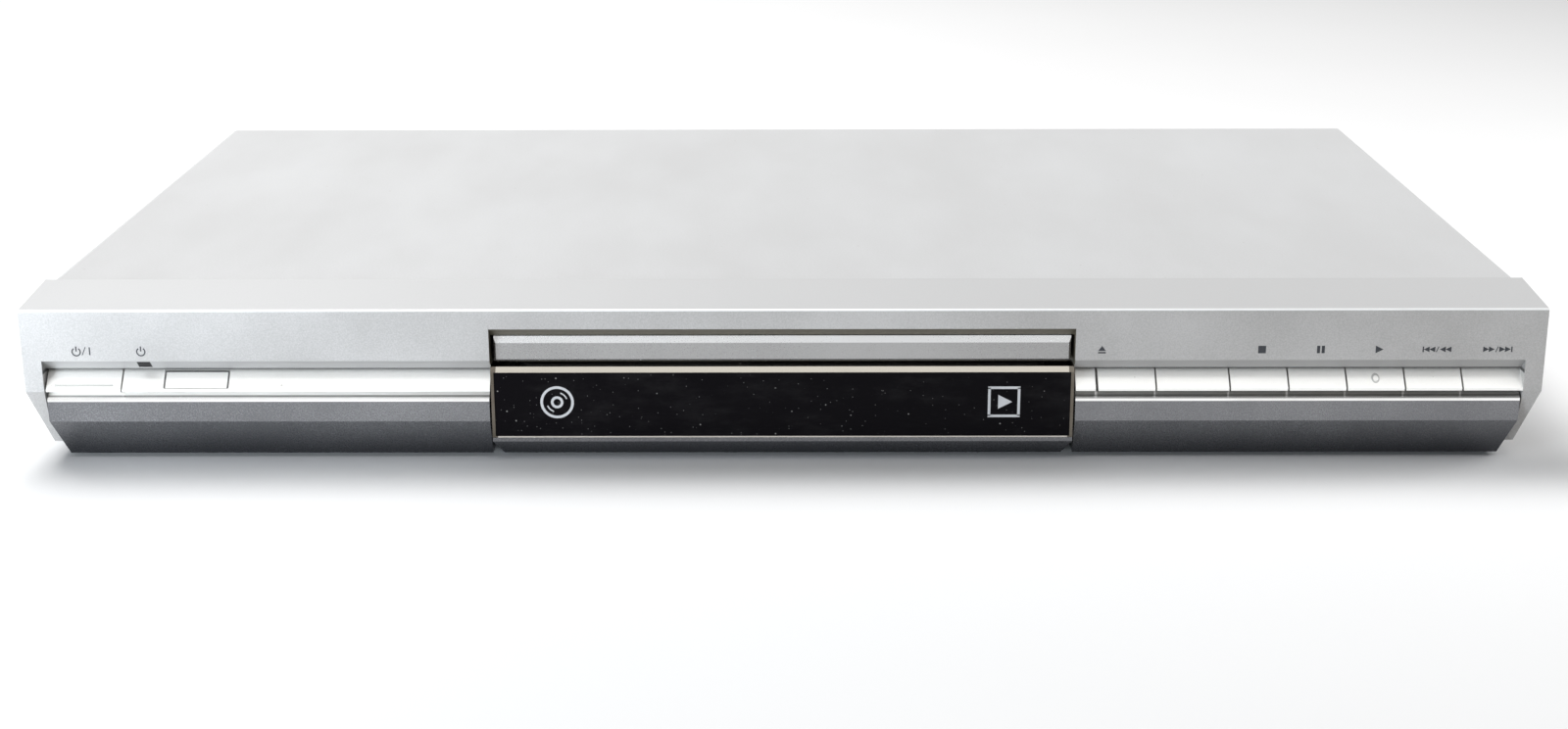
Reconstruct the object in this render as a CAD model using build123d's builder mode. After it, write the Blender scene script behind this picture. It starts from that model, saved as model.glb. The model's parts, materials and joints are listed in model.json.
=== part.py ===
from build123d import *
import os
from math import asin, cos, degrees, pi, radians, sin, tan

# A full-width disc player with a loading tray.
# Millimetres. +X is the right side seen from the front, the front faces -Y, +Z is up,
# and the origin is on the floor under the middle of the whole player.

os.makedirs("parts", exist_ok=True)

# ---- case ---------------------------------------------------------------------------
FASCIA_WIDTH = 430.0          # front moulding, end to end
CASE_DEPTH = 249.0            # front face to the cover's rear lip
CASE_HEIGHT = 47.0            # floor to the top of the front moulding
SOCKET_PROUD = 7.0            # sockets stand out behind the case
SIDE_STEP = 1.5               # the cover is narrower than the front, at each side
COVER_DROP = 0.3              # and this much lower at the seam
SEAM_BACK = 26.0              # front face to the seam with the cover
SEAM_GAP = 0.3
SHEET = 0.8                   # steel cover and rear panel
PAN_SHEET = 1.0
PAN_HEIGHT = 4.8              # floor to the underside of the base pan
PAN_FLANGE = 9.0
COVER_BEND = 2.0              # outside radius of the cover's long bends
REAR_LIP = 7.0                # the cover turns down over the rear panel
FIT = 0.3                     # clearance between separate sheet parts
FOOT_RADIUS = 10.0
FOOT_IN = 47.0                # feet in from the ends of the front
FOOT_FRONT = 48.0             # front face to the front feet
FOOT_REAR = 214.0
PAD_THICK = 1.2
SCREW_RADIUS = 1.5
SCREW_HOLE = 1.6
SCREW_HEAD = 3.0
SCREW_LENGTH = 5.0            # of the cover's screws
SCREW_EDGE = 3.5              # side screws below the pan's upturned edge
HEAD_HEIGHT = 1.1
SIDE_SCREWS = (70.0, 205.0)   # behind the front face
REAR_SCREW_IN = 19.0          # outer screws of the rear lip, in from the ends of the front
VENT_LENGTH = 26.0
VENT_WIDTH = 3.0
VENT_PITCH = 8.0
VENT_COUNT = 6                # slots in a row under each board
VENT_BACK = 150.0
REAR_VENT_LENGTH = 18.0
REAR_VENT_COUNT = 12
REAR_VENT_X = -50.0
OVER = 1.0                    # cuts reach this far past the surface they open

# ---- front moulding -----------------------------------------------------------------
WALL = 2.2                    # wall of the front moulding
TOP_FALL = 2.1                # its top drops this much towards the front edge
FACE_ROUND = 0.5              # its long front edge
CHEEK_TOP = 20.9              # below this the ends turn in and back
CHEEK_BACK = 4.0
CHEEK_IN = 5.5                # the ends come in this much at the bottom
STRIP_IN = 5.3                # the key strip's opening, in from each end
LIP_TOP = 30.05               # upper edge of that opening, at the face
LIP_BOTTOM = 26.6             # its chamfered lip runs back and down to here
LIP_BACK = 3.6
APRON_BACK = 8.0              # wall that the strips and chins seat on
POCKET_IN = 4.0               # the chins' ends come in this much at the bottom
POCKET_SIDE = 12.2            # height where they start to come in
LINER = 1.6                   # side walls of the openings
RIB_SHARES = (0.51, 0.70, 0.88)         # ribs' places, as shares of half the width
RIB_THICK = 1.4
RIB_REACH = 20.0              # along the top, behind the face

# ---- key strip, ledge and chins -----------------------------------------------------
STRIP_BOTTOM = 20.9
STRIP_LIP = 0.7               # upright lower edge of the keys
STRIP_TOP_BACK = 4.3          # the slanting face ends this far back
KEY_DEPTH = 7.0
KEY_WALL = 1.2
KEY_GAP = 0.5
KEY_TRAVEL = 0.6
STEM_RADIUS = 1.8
STEM_HEIGHT = 23.7
STUB_WIDTH = 6.65             # fixed end of the strip, between the block and the first key
KEY_WIDTHS = (16.65, 20.9, 16.6, 16.5, 16.5, 16.25, 17.15)
KEY_NAMES = ("open_close", "enhancer", "stop", "pause", "play", "skip_back", "skip_forward")
POWER_WIDTH = 21.9
BLANK_IN = 43.1               # blank panel set in the strip, from its left end
BLANK_WIDTH = 18.2
BLANK_LENGTH = 5.4            # along the slant
BLANK_DEEP = 1.0
BLANK_PLAY = 0.2              # round it, at each side
DOT_RADIUS = 0.95             # raised dot on the play key
DOT_HEIGHT = 0.35
GROOVE_WIDTH = 0.4
GROOVE_DEEP = 0.3
GROOVE_SHARE = 0.2            # the power key's groove, up its slanting face
LENS_IN = 28.8                # standby lens in the lip, from the strip's left end
LENS_WIDTH = 3.8
LENS_DEEP = 3.0
LENS_SHARES = (0.1, 0.75)     # how far down the lip it starts and ends
LEDGE_TOP = 20.2
LEDGE_BOTTOM = 17.9
LEDGE_LIP = 0.6
LEDGE_SLOPE = 1.9             # the ledge's top falls forward over this depth
CHIN_FOLD = 12.0
CHIN_BACK = 4.0               # the chin's lower face leans back this much
CHIN_BOTTOM = 1.2
CHIN_DEPTH = 18.0
CHIN_RISE = 2.6
CHIN_WALL = 1.8
CHIN_RIBS = 3
CHIN_GAP = 0.6                # between the chins and the front moulding's ends

# ---- middle block -------------------------------------------------------------------
BLOCK_HALF = 82.75            # half width of the tray opening and the window block
RECESS_TOP = 39.3             # upper edge of the tray opening, at the face
RECESS_CEILING = 36.9
RECESS_SLOPE = 2.6            # its chamfer runs back this far
RECESS_FLOOR = 28.4
TUNNEL_BACK = 14.0
DOOR_BACK = 2.2               # the tray's door sits this far behind the face
DOOR_THICK = 4.4
DOOR_BOTTOM = 29.2
DOOR_TOP = 36.5
DOOR_SIDE = 1.0               # gap at each end of the door
DOOR_BEVEL = 1.9              # height of the bevel along its top
DOOR_LEAN = 0.8               # which leans back this much
DOOR_FOOT = 0.6
DOOR_BAYS = 4                 # hollows behind it, between ribs
DOOR_RIB = 1.2
BLOCK_BOTTOM = 7.1
BLOCK_TOP = 27.9
BLOCK_DEPTH = 7.9
FRAME_SIDE = 0.9              # bright border at each side of the window
FRAME_TOP = 1.4
FRAME_BEVEL = 1.2             # the bright top border slants back this far
FRAME_FOOT = 0.4
WINDOW_BACK = 0.25
WINDOW_THICK = 2.5
WINDOW_SIDES = 0.05
CENTRE_CHIN_LIP = 1.2
CENTRE_CHIN_LEAN = 0.5
CENTRE_CHIN_IN = 2.8          # its lower corners come in this much
TUBE_HALF = 44.0              # display tube behind the window
TUBE_LOW = 11.5
TUBE_HIGH = 24.5
TUBE_THICK = 4.0
TUBE_MARGIN = 1.0             # the opening in front of it is this much larger
LUG_WIDTH = 5.0               # lugs behind the window
LUG_HEIGHT = 9.0
LUG_INSET = 6.0

# ---- boards -------------------------------------------------------------------------
BOARD = 1.6
BOARD_HEIGHT = 13.0           # floor to the underside of the flat boards
BOARD_HOLE_IN = 6.0           # their screws, from the sides
BOARD_HOLE_FRONT = 8.0        # and from the front and rear ends
BOARD_HOLE_REAR = 32.0
KEY_BOARD_BACK = 16.5
KEY_BOARD_LOW = 12.0
KEY_BOARD_HIGH = 38.0
KEY_BOARD_END = 4.0           # boards stop this far inside the strip's ends
TUBE_BOARD_SIDE = 14.0        # the display's board reaches this far past the tube
TUBE_BOARD_FOOT = 3.0
SPACER = 5.0
SPACER_IN = (13.0, 33.0)      # from the inner and outer ends of each key board
SWITCH_SIZE = 6.0
SWITCH_TALL = 3.5
ACTUATOR_RADIUS = 1.6
ACTUATOR_TALL = 0.7
BOSS_RADIUS = 3.2
EAR_BOSS_RADIUS = 4.2
POWER_BOARD_WIDTH = 106.0
MAIN_BOARD_WIDTH = 109.0
BOARD_SIDE = 7.4              # boards stop this far inside the base pan's edge
POWER_BOARD_FRONT = 70.0
MAIN_BOARD_FRONT = 66.0
BOARD_REAR_GAP = 3.0
SOCKET_RADIUS = 4.15
SOCKET_BORE = 3.1
SOCKET_PIN_HOLE = 1.3
SOCKET_PITCH = 14.0
SOCKET_ROW = 14.0
SOCKET_IN = 62.4              # middle of the sockets, in from the base pan's edge
SOCKET_LOW = 20.5
SOCKET_COUNT = 6
JACK_DEPTH = 13.0
JACK_MARGIN = 5.5
JACK_SLOT = 1.5
SLEEVE_WALL = 1.0
INLET_IN = 34.4
INLET_Z = 24.0
INLET_WIDTH = 20.0
INLET_HEIGHT = 12.0
INLET_MOUTH = 14.4
INLET_MOUTH_HEIGHT = 8.8
INLET_DEEP = 11.0
INLET_BODY = 16.0
INLET_FLANGE = 1.5
INLET_FLANGE_EDGE = 2.0
INLET_ROUND = 2.0
INLET_LEG = 4.0
PLATE_EDGE = 14.0             # the mains end of the rear panel is a plate, this far past the flange
PRONG_RADIUS = 1.2
PRONG_SPACING = 8.6
PRONG_SHORT = 1.0             # prongs end this far inside the inlet's mouth
TRANSFORMER = (54.0, 130.0)             # in from the board's outer end, and behind the face
TRANSFORMER_BLOCKS = (                  # width, depth, height above the board, thickness
    (26.0, 30.0, 0.0, 5.0), (20.0, 18.0, 5.0, 12.0), (24.0, 8.0, 7.0, 14.0),
)
CAPACITORS = (                          # in from the board's end, behind the face, radius, height
    (18.0, 150.0, 9.0, 24.0), (84.0, 108.0, 5.0, 16.0), (84.0, 122.0, 5.0, 16.0),
    (82.0, 168.0, 4.0, 13.0),
)
CAN_ROUND = 0.6
SINK_PLACE = (20.0, 110.0)
SINK_LENGTH = 34.0
SINK_THICK = 2.0
SINK_TALL = 22.0
FIN_COUNT = 6
FIN_PITCH = 6.0
FIN_THICK = 1.2
FIN_DEPTH = 8.0
CHIPS = (                               # in from the board's end, behind the face, width, depth
    (79.0, 110.0, 22.0, 22.0), (39.0, 100.0, 10.0, 18.0), (39.0, 128.0, 14.0, 14.0),
    (79.0, 150.0, 12.0, 18.0), (19.0, 150.0, 8.0, 12.0),
)
CHIP_TALL = 1.8
SMALL_CANS = (37.0, 186.0)              # the first of a row of small capacitors
SMALL_CAN_COUNT = 6
SMALL_CAN_PITCH = 12.0
SMALL_CAN_RADIUS = 3.2
SMALL_CAN_TALL = 8.0
RIBBON_IN = 73.0                        # from the main board's outer end
RIBBON_WIDTH = 22.0
RIBBON_HIGH = 34.0
RIBBON_THICK = 0.4
RIBBON_BEND = 8.0
RIBBON_REACH = 12.0                     # plugs in this far behind the main board's front end
PLUG_LENGTH = 4.0
PLUG_THICK = 5.0
PLUG_SIDE = 1.0                         # plugs are this much wider than the ribbon, at each side

# ---- loader -------------------------------------------------------------------------
SPINDLE_BACK = 80.0           # front face to the disc's centre, tray closed
DISC_RADIUS = 60.0
SMALL_DISC_RADIUS = 40.0
WELL_MARGIN = 1.0
WELL_DEEP = 2.3
SMALL_WELL_DEEP = 1.0
TRAY_HALF = 75.2
TRAY_HELD = 50.0              # tray length still in the loader when it is fully out
TRAY_BOTTOM = 28.9
TRAY_TOP = 36.1
TRAY_SKIN = 1.4               # floor under the small-disc well
TRAY_RAIL = 9.2               # side rails, outside the hollow underside
TRAY_FRONT = 7.5
TRAY_CORNER = 4.0
TRAY_TRAVEL = 138.0
HUB_HOLE = 19.0
SLOT_HALF = 17.0
SLOT_REACH = 59.5
SCOOP_RADIUS = 13.0
MODULE = 1.0
ADDENDUM = 0.8 * MODULE       # stub teeth
DEDENDUM = 1.1 * MODULE
PRESSURE_ANGLE = 20.0
TOOTH_PLAY = 0.36
GEAR_TEETH = 30
PINION_TEETH = 10
RACK_LINE = 62.0              # pitch line of the rack, right of the middle
RACK_TOOTH_BOTTOM = 29.2
RACK_DEDENDUM = 1.2 * MODULE
RACK_START = 2.0              # first tooth behind the tray's front rib
TRAY_RIB = 2.2                # rib along the hollow underside
TRAY_RIB_END = 15.0
GEAR_BACK = 42.0              # front face to the tray gear's shaft
GEAR_TOP = 31.0
GEAR_BOTTOM = 23.8
GEAR_RIM = 3.0                # round a shallow recess in the tray gear
GEAR_RECESS = 2.0
PINION_TOP = 26.6
PULLEY_RADIUS = 15.0
PULLEY_GROOVE = 13.2
PULLEY_BOTTOM = 20.7
PULLEY_HEIGHT = 2.8
PULLEY_HOLES = 5
PULLEY_HOLE_RADIUS = 2.4
PULLEY_HOLE_SHARE = 0.66      # of the groove's radius
MOTOR_PULLEY_RADIUS = 4.8
MOTOR_PULLEY_GROOVE = 3.2
MOTOR_PULLEY_X = -22.0
MOTOR_PULLEY_BACK = 42.5
FLANGE = 0.5
BELT_THICK = 1.2
BELT_PLAY = 0.12
SHAFT_RADIUS = 1.5
MOTOR_SHAFT = 1.0
RUNNING = 0.08                # play between a shaft and its bore
MOTOR_RADIUS = 12.0
MOTOR_ROUND = 1.0
MOTOR_COLLAR = 3.0
MOTOR_CLEAR = 0.6             # motor above the base pan
PULLEY_SEAT = 0.6             # closed top of the motor pulley's bore
FRAME_LENGTH = 176.0
FRAME_BOTTOM = 10.0
FRAME_WALL = 2.5
FRAME_FLOOR = 2.0
DECK_TOP = 20.3
DECK_THICK = 1.8
DECK_REAR = 59.0
SLIDE_GAP = 0.4               # tray to frame, at the sides
RAIL_GAP = 0.3                # tray to its ledges
RAIL_WIDTH = 8.0              # ledge under each side of the tray
RAIL_THICK = 2.0
TAB_WIDTH = 4.5
TAB_THICK = 1.6
TAB_LENGTH = 12.0
TAB_BACKS = (42.0, 120.0, 180.0)
FRAME_WINDOW = 57.0           # half width of the openings in the frame's floor
FRAME_WINDOWS = ((29.0, 55.0), (67.0, 172.0))   # where they start and end behind the face
EAR = 12.0
FENCE_LENGTH = 8.0            # fences that keep the cam plate upright
FENCE_OUT = 5.0               # their middles, outside the frame's openings
FENCE_TALL = 5.0
FENCE_THICK = 1.2
BUSH_RADIUS = 4.0
PIVOT_RADIUS = 2.0
POST_THICK = 5.0
POST_SIDE = 2.0               # the post's stock beside its bush
POST_TOP = 27.8
BRIDGE_SHEET = 1.0
BRIDGE_HALF_DEPTH = 21.0
BRIDGE_HOLE = 14.5
BRIDGE_SLOT = 28.0
BRIDGE_SLOT_WIDTH = 16.0
BRIDGE_SLOT_X = 46.0
BRIDGE_FOLD = 3.0
CLAMPER_CONE = 8.9            # clears the turntable's cone
CLAMPER_CONE_DEEP = 2.0
CLAMPER_RING = 12.5
CLAMPER_NECK = 13.6
CLAMPER_BEVEL = 1.2
CLAMPER_FLANGE = 17.0
CLAMPER_CLEAR = 0.5           # clamper above the tray's rim
CLAMPER_CAP = 1.3
CLAMPER_STEP = 0.8            # raised middle of its cap
CLAMPER_HOLES = 3
CLAMPER_HOLE_RADIUS = 2.2
CLAMPER_HOLE_AT = 7.25

# ---- traverse, drawn raised to the disc, then lowered to its resting place ------------
HINGE_BACK = 166.0
HINGE_HEIGHT = 24.0
DROP = 9.0                    # the spindle falls this much when lowered
PLATE_TOP = 27.5
PLATE_THICK = 1.0
PLATE_HALF = 50.0
PLATE_FRONT = 65.0
PLATE_REAR = 169.0
PLATE_FOLD = 5.0
LUG_FRONT = 162.0             # lugs that carry the pivots
LUG_LOW = 20.5
LUG_THICK = 2.0
CLIP_WIDTH = 6.0              # clips that hold the rods and the screw
CLIP_DEPTH = 3.0
CLIP_STOCK = 1.0
SEAT_HEIGHT = 34.8            # the disc rests here on the raised turntable
TABLE_RADIUS = 12.5
TABLE_THICK = 2.2
CONE_RADIUS = 7.4
CONE_HEIGHT = 1.9
CONE_STRAIGHT = 0.5
CONE_TOP = 5.8
CONE_MOAT = 1.0               # shallow moat round the cone
CONE_MOAT_DEEP = 0.4
HUB_RADIUS = 5.0
HUB_CLEAR = 1.0
SPINDLE_RADIUS = 12.5
SPINDLE_TALL = 4.5
SPINDLE_ROUND = 0.8
SPINDLE_SHAFT = 1.2
ROD_X = 23.0
ROD_RADIUS = 1.5
ROD_HEIGHT = 23.6
ROD_FRONT = 90.0
ROD_MARGIN = 4.0              # rods reach this far past the sled's last place
SLED_FIRST = 24.0             # lens to spindle at the inner track
SLED_TRAVEL = 34.0
SLED_HALF = 27.0
SLED_AHEAD = 6.5              # sled in front of the lens
SLED_BEHIND = 20.0
SLED_TOP = 27.9
SLED_BOTTOM = 20.5
SLED_ROUND = 3.0
SLED_ROOF = 2.5
SLED_RAIL = 5.0               # stock inside each rod's bore
SLED_END = 3.0
SLED_CLEAR = 1.0              # the plate's opening past the sled at its last place
WINDOW_LEFT = 2.0             # and past its side and the screw
WINDOW_RIGHT = 4.0
NUT_DEPTH = 9.0               # half nut on an arm over the feed screw
NUT_THICK = 1.8
NUT_DOWN = 2.0
NUT_OVER = 2.5
LENS_TOP = 32.6
LENS_RADIUS = 3.0
LENS_STEP = 0.8
LENS_RIM = 0.3
LENS_HOLDER = (14.0, 10.5)
SCREW_LINE = 34.0             # feed screw, right of the middle
SCREW_TAIL = 2.0              # it ends this far inside the feed motor
FEED_RADIUS = 1.5
FEED_MOTOR_RADIUS = 5.0
FEED_MOTOR_LENGTH = 13.0
PIN_RADIUS = 1.4              # pins that ride in the cam slots
PIN_ROOT = 4.8                # block at each pin's root
PIN_ROOT_TALL = 3.0
PIN_ROOT_DEEP = 3.0
PIN_X = 26.0
PIN_HEIGHT = 26.0
CAM_BACK = 60.6
CAM_THICK = 2.0
CAM_TRAVEL = 20.0
CAM_HALF = 44.0
CAM_TOP = 27.7
CAM_FOOT = 60.0               # its foot runs on to here, between the fences
CAM_FOOT_TALL = 4.0
CAM_PLAY = 0.45

# ---- what follows from those sizes ----------------------------------------------------
FACE_Y = -(CASE_DEPTH + SOCKET_PROUD) / 2
FASCIA_HALF = FASCIA_WIDTH / 2
COVER_HALF = FASCIA_HALF - SIDE_STEP
STRIP_HALF = FASCIA_HALF - STRIP_IN
FOOT_X = FASCIA_HALF - FOOT_IN
REAR_SCREWS = (REAR_SCREW_IN - FASCIA_HALF, 0.0, FASCIA_HALF - REAR_SCREW_IN)
RIB_XS = [side * share * FASCIA_HALF for side in (-1, 1) for share in RIB_SHARES]
KEY_REACH = STRIP_HALF + KEY_GAP / 2
KEY_STRETCH = (KEY_REACH - BLOCK_HALF) / (STUB_WIDTH + sum(KEY_WIDTHS))   # a narrower front has narrower keys
KEY_EDGES = [KEY_REACH - KEY_STRETCH * sum(KEY_WIDTHS[index:]) for index in range(len(KEY_WIDTHS) + 1)]
POWER_EDGE = STRIP_HALF - POWER_WIDTH        # left of the middle, as the next two
BLANK_X = STRIP_HALF - BLANK_IN
LENS_X = STRIP_HALF - LENS_IN
COVER_TOP = CASE_HEIGHT - COVER_DROP
FASCIA_BOTTOM = PAN_HEIGHT
FASCIA_REAR = SEAM_BACK - WALL
FRAME_FRONT = FASCIA_REAR + PAN_SHEET + FIT  # front face to the loader frame
PAN_TOP = PAN_HEIGHT + PAN_SHEET
PAN_HALF = COVER_HALF - SHEET - FIT
BOARD_END = PAN_HALF - BOARD_SIDE
POWER_BOARD = (-BOARD_END, POWER_BOARD_WIDTH - BOARD_END, POWER_BOARD_FRONT)
MAIN_BOARD = (BOARD_END - MAIN_BOARD_WIDTH, BOARD_END, MAIN_BOARD_FRONT)
SOCKET_X = PAN_HALF - SOCKET_IN
INLET_X = INLET_IN - PAN_HALF
PLATE_SEAM = INLET_X + INLET_WIDTH / 2 + INLET_FLANGE_EDGE + PLATE_EDGE
PANEL_BACK = CASE_DEPTH - 2 * SHEET           # front face to the rear panel's inner side
PANEL_TOP = COVER_TOP - SHEET - FIT
STRIP_TOP = LIP_BOTTOM - FIT
STEM_END = KEY_BOARD_BACK - SWITCH_TALL - ACTUATOR_TALL - KEY_TRAVEL - FIT
WELL_RADIUS = DISC_RADIUS + WELL_MARGIN
SMALL_WELL_RADIUS = SMALL_DISC_RADIUS + WELL_MARGIN
TRAY_LENGTH = TRAY_TRAVEL + TRAY_HELD
SLANT_RISE = STRIP_TOP - STRIP_BOTTOM - STRIP_LIP
TRAY_BACK = DOOR_BACK + DOOR_THICK
SIDE_SCREW_Z = PAN_TOP + PAN_FLANGE - SCREW_EDGE
REAR_SCREW_Z = COVER_TOP - REAR_LIP / 2
BLOCK_EDGE = BLOCK_HALF - WINDOW_SIDES
WINDOW_LOW = BLOCK_BOTTOM + FRAME_FOOT
WINDOW_HIGH = BLOCK_TOP - FRAME_TOP
WINDOW_HALF = BLOCK_EDGE - FRAME_SIDE - WINDOW_SIDES
KEY_MIDDLES = [(a + b) / 2 for a, b in zip(KEY_EDGES, KEY_EDGES[1:])] + [-(POWER_EDGE + STRIP_HALF) / 2]
JACK_HALF = (SOCKET_COUNT - 1) / 2 * SOCKET_PITCH + JACK_MARGIN
JACK_TOP = SOCKET_LOW + SOCKET_ROW + JACK_MARGIN
TRAY_REAR = TRAY_BACK + TRAY_LENGTH
TRAY_MIDDLE = TRAY_BACK + TRAY_LENGTH / 2
POCKET_HALF = TRAY_HALF - TRAY_RAIL
WELL_FLOOR = TRAY_TOP - WELL_DEEP
SMALL_WELL_FLOOR = WELL_FLOOR - SMALL_WELL_DEEP
POCKET_CEILING = SMALL_WELL_FLOOR - TRAY_SKIN
WALL_INNER = TRAY_HALF + SLIDE_GAP
FRAME_HALF = WALL_INNER + FRAME_WALL
RAIL_TOP = TRAY_BOTTOM - RAIL_GAP
TAB_BOTTOM = TRAY_TOP + RAIL_GAP
FRAME_TOP_Z = TAB_BOTTOM + TAB_THICK
FRAME_REAR = FRAME_FRONT + FRAME_LENGTH
GEAR_RADIUS = MODULE * GEAR_TEETH / 2
PINION_RADIUS = MODULE * PINION_TEETH / 2
GEAR_X = RACK_LINE - GEAR_RADIUS
PULLEY_X = GEAR_X - GEAR_RADIUS - PINION_RADIUS
CLAMPER_BOTTOM = TRAY_TOP + CLAMPER_CLEAR
BRIDGE_TOP = FRAME_TOP_Z + BRIDGE_SHEET
ARM = HINGE_BACK - SPINDLE_BACK
LOWER_ANGLE = degrees(asin(DROP / ARM))
LENS_BACK = SPINDLE_BACK + SLED_FIRST
SLED_FRONT = LENS_BACK - SLED_AHEAD
SLED_REAR = LENS_BACK + SLED_BEHIND
ROD_REAR = SLED_REAR + SLED_TRAVEL + ROD_MARGIN
BOARD_TOP = BOARD_HEIGHT + BOARD


def back(distance):
    """Y of a place this far behind the front face."""
    return FACE_Y + distance


def across(x):
    """Plane for an outline in (Y, Z) at this X, thickened towards +X."""
    return Plane.YZ.offset(x)


def facing(distance):
    """Plane for an outline in (X, Z) this far behind the front face, thickened forwards."""
    return Plane.XZ.offset(-back(distance))


def level(z):
    """Plane for an outline in (X, Y) at this height, thickened upwards."""
    return Plane.XY.offset(z)


def section(*points):
    """Points given as (distance behind the face, height), as (Y, Z)."""
    return [(back(distance), height) for distance, height in points]


def corners(left, right, low, high):
    """Corner points of an upright rectangle."""
    return [(left, low), (right, low), (right, high), (left, high)]


def keep(piece, name):
    """Label a finished piece and write it."""
    piece.part.label = name
    export_step(piece.part, f"parts/{name}.step")


HINGE = Axis((0, back(HINGE_BACK), HINGE_HEIGHT), (1, 0, 0))


def keep_lowered(piece, name):
    """Turn a piece of the traverse down about its rear hinge, then write it."""
    lowered = piece.part.rotate(HINGE, LOWER_ANGLE)
    lowered.label = name
    export_step(lowered, f"parts/{name}.step")


# ======================================================================================
# Case
# ======================================================================================
EAR_HOLES = [
    (side * (FRAME_HALF + EAR / 2), back(y))
    for side in (-1, 1)
    for y in (FRAME_FRONT + EAR, FRAME_REAR - EAR)
]
FOOT_PLACES = [(side * FOOT_X, back(y)) for side in (-1, 1) for y in (FOOT_FRONT, FOOT_REAR)]


def board_holes(place):
    """Screw places at the corners of a flat board."""
    left, right, front = place
    rear = PANEL_BACK - BOARD_REAR_GAP
    return [
        (x, back(y))
        for x in (left + BOARD_HOLE_IN, right - BOARD_HOLE_IN)
        for y in (front + BOARD_HOLE_FRONT, rear - BOARD_HOLE_REAR)
    ]


POWER_HOLES = board_holes(POWER_BOARD)
MAIN_HOLES = board_holes(MAIN_BOARD)

with BuildPart() as base_pan:
    pan_length = PANEL_BACK - FASCIA_REAR
    pan_middle = back(FASCIA_REAR + pan_length / 2)
    with BuildSketch(Plane((0, pan_middle, PAN_HEIGHT))):
        Rectangle(2 * PAN_HALF, pan_length)
    extrude(amount=PAN_SHEET)
    # turned-up side flanges and front flange
    for side in (-1, 1):
        with BuildSketch(Plane((side * (PAN_HALF - PAN_SHEET / 2), pan_middle, PAN_TOP))):
            Rectangle(PAN_SHEET, pan_length)
        extrude(amount=PAN_FLANGE)
    with BuildSketch(Plane((0, back(FASCIA_REAR + PAN_SHEET / 2), PAN_TOP))):
        Rectangle(2 * PAN_HALF, PAN_SHEET)
    extrude(amount=PAN_FLANGE)
    # bosses under the boards and under the loader's ears
    with BuildSketch(level(PAN_TOP)):
        with Locations(*POWER_HOLES, *MAIN_HOLES):
            Circle(BOSS_RADIUS)
    extrude(amount=BOARD_HEIGHT - PAN_TOP)
    with BuildSketch(level(PAN_TOP)):
        with Locations(*EAR_HOLES):
            Circle(EAR_BOSS_RADIUS)
    extrude(amount=FRAME_BOTTOM - PAN_TOP)
    with BuildSketch(level(PAN_HEIGHT)):
        with Locations(*POWER_HOLES, *MAIN_HOLES, *EAR_HOLES):
            Circle(SCREW_HOLE)
    extrude(amount=BOARD_HEIGHT, mode=Mode.SUBTRACT)
    # vent slots under the power board and the main board
    for middle in (POWER_BOARD, MAIN_BOARD):
        with BuildSketch(Plane(((middle[0] + middle[1]) / 2, back(VENT_BACK), PAN_HEIGHT))):
            with GridLocations(VENT_LENGTH + VENT_PITCH, VENT_PITCH, 2, VENT_COUNT):
                SlotOverall(VENT_LENGTH, VENT_WIDTH)
        extrude(amount=PAN_SHEET, mode=Mode.SUBTRACT)
    # holes for the cover's side screws
    with BuildSketch(across(-PAN_HALF)):
        with Locations(*section(*[(y, SIDE_SCREW_Z) for y in SIDE_SCREWS])):
            Circle(SCREW_HOLE)
    extrude(amount=2 * PAN_HALF, mode=Mode.SUBTRACT)
keep(base_pan, "base_pan")

with BuildPart() as feet:
    # four discs, each chamfered round its lower edge
    with BuildSketch(level(PAD_THICK)):
        with Locations(*FOOT_PLACES):
            Circle(FOOT_RADIUS)
    extrude(amount=PAN_HEIGHT - PAD_THICK)
    chamfer(feet.edges().group_by(Axis.Z)[0], PAD_THICK / 2)
keep(feet, "feet")

with BuildPart() as foot_pads:
    with BuildSketch(level(0)):
        with Locations(*FOOT_PLACES):
            Circle(FOOT_RADIUS - PAD_THICK)
            Circle(FOOT_RADIUS / 2, mode=Mode.SUBTRACT)
    extrude(amount=PAD_THICK)
keep(foot_pads, "foot_pads")

with BuildPart() as top_cover:
    cover_length = CASE_DEPTH - SEAM_BACK - SEAM_GAP
    cover_bottom = PAN_HEIGHT + FIT
    with BuildSketch(facing(CASE_DEPTH)) as cover_outline:
        Polygon(*corners(-COVER_HALF, COVER_HALF, cover_bottom, COVER_TOP), align=None)
        fillet(cover_outline.vertices().group_by(Axis.Y)[-1], COVER_BEND)
    extrude(amount=cover_length)
    with BuildSketch(facing(CASE_DEPTH - SHEET)) as hollow_outline:
        Polygon(*corners(SHEET - COVER_HALF, COVER_HALF - SHEET, 0, COVER_TOP - SHEET), align=None)
        fillet(hollow_outline.vertices().group_by(Axis.Y)[-1], COVER_BEND - SHEET)
    extrude(amount=cover_length, mode=Mode.SUBTRACT)
    # the rear is open below the turned-down lip
    with BuildSketch(facing(CASE_DEPTH)):
        Polygon(*corners(SHEET - COVER_HALF, COVER_HALF - SHEET, 0, COVER_TOP - REAR_LIP), align=None)
    extrude(amount=SHEET, mode=Mode.SUBTRACT)
    with BuildSketch(across(-COVER_HALF)):
        with Locations(*section(*[(y, SIDE_SCREW_Z) for y in SIDE_SCREWS])):
            Circle(SCREW_HOLE)
    extrude(amount=2 * COVER_HALF, mode=Mode.SUBTRACT)
    with BuildSketch(facing(CASE_DEPTH)):
        with Locations(*[(x, REAR_SCREW_Z) for x in REAR_SCREWS]):
            Circle(SCREW_HOLE)
    extrude(amount=SHEET, mode=Mode.SUBTRACT)
keep(top_cover, "top_cover")

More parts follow.
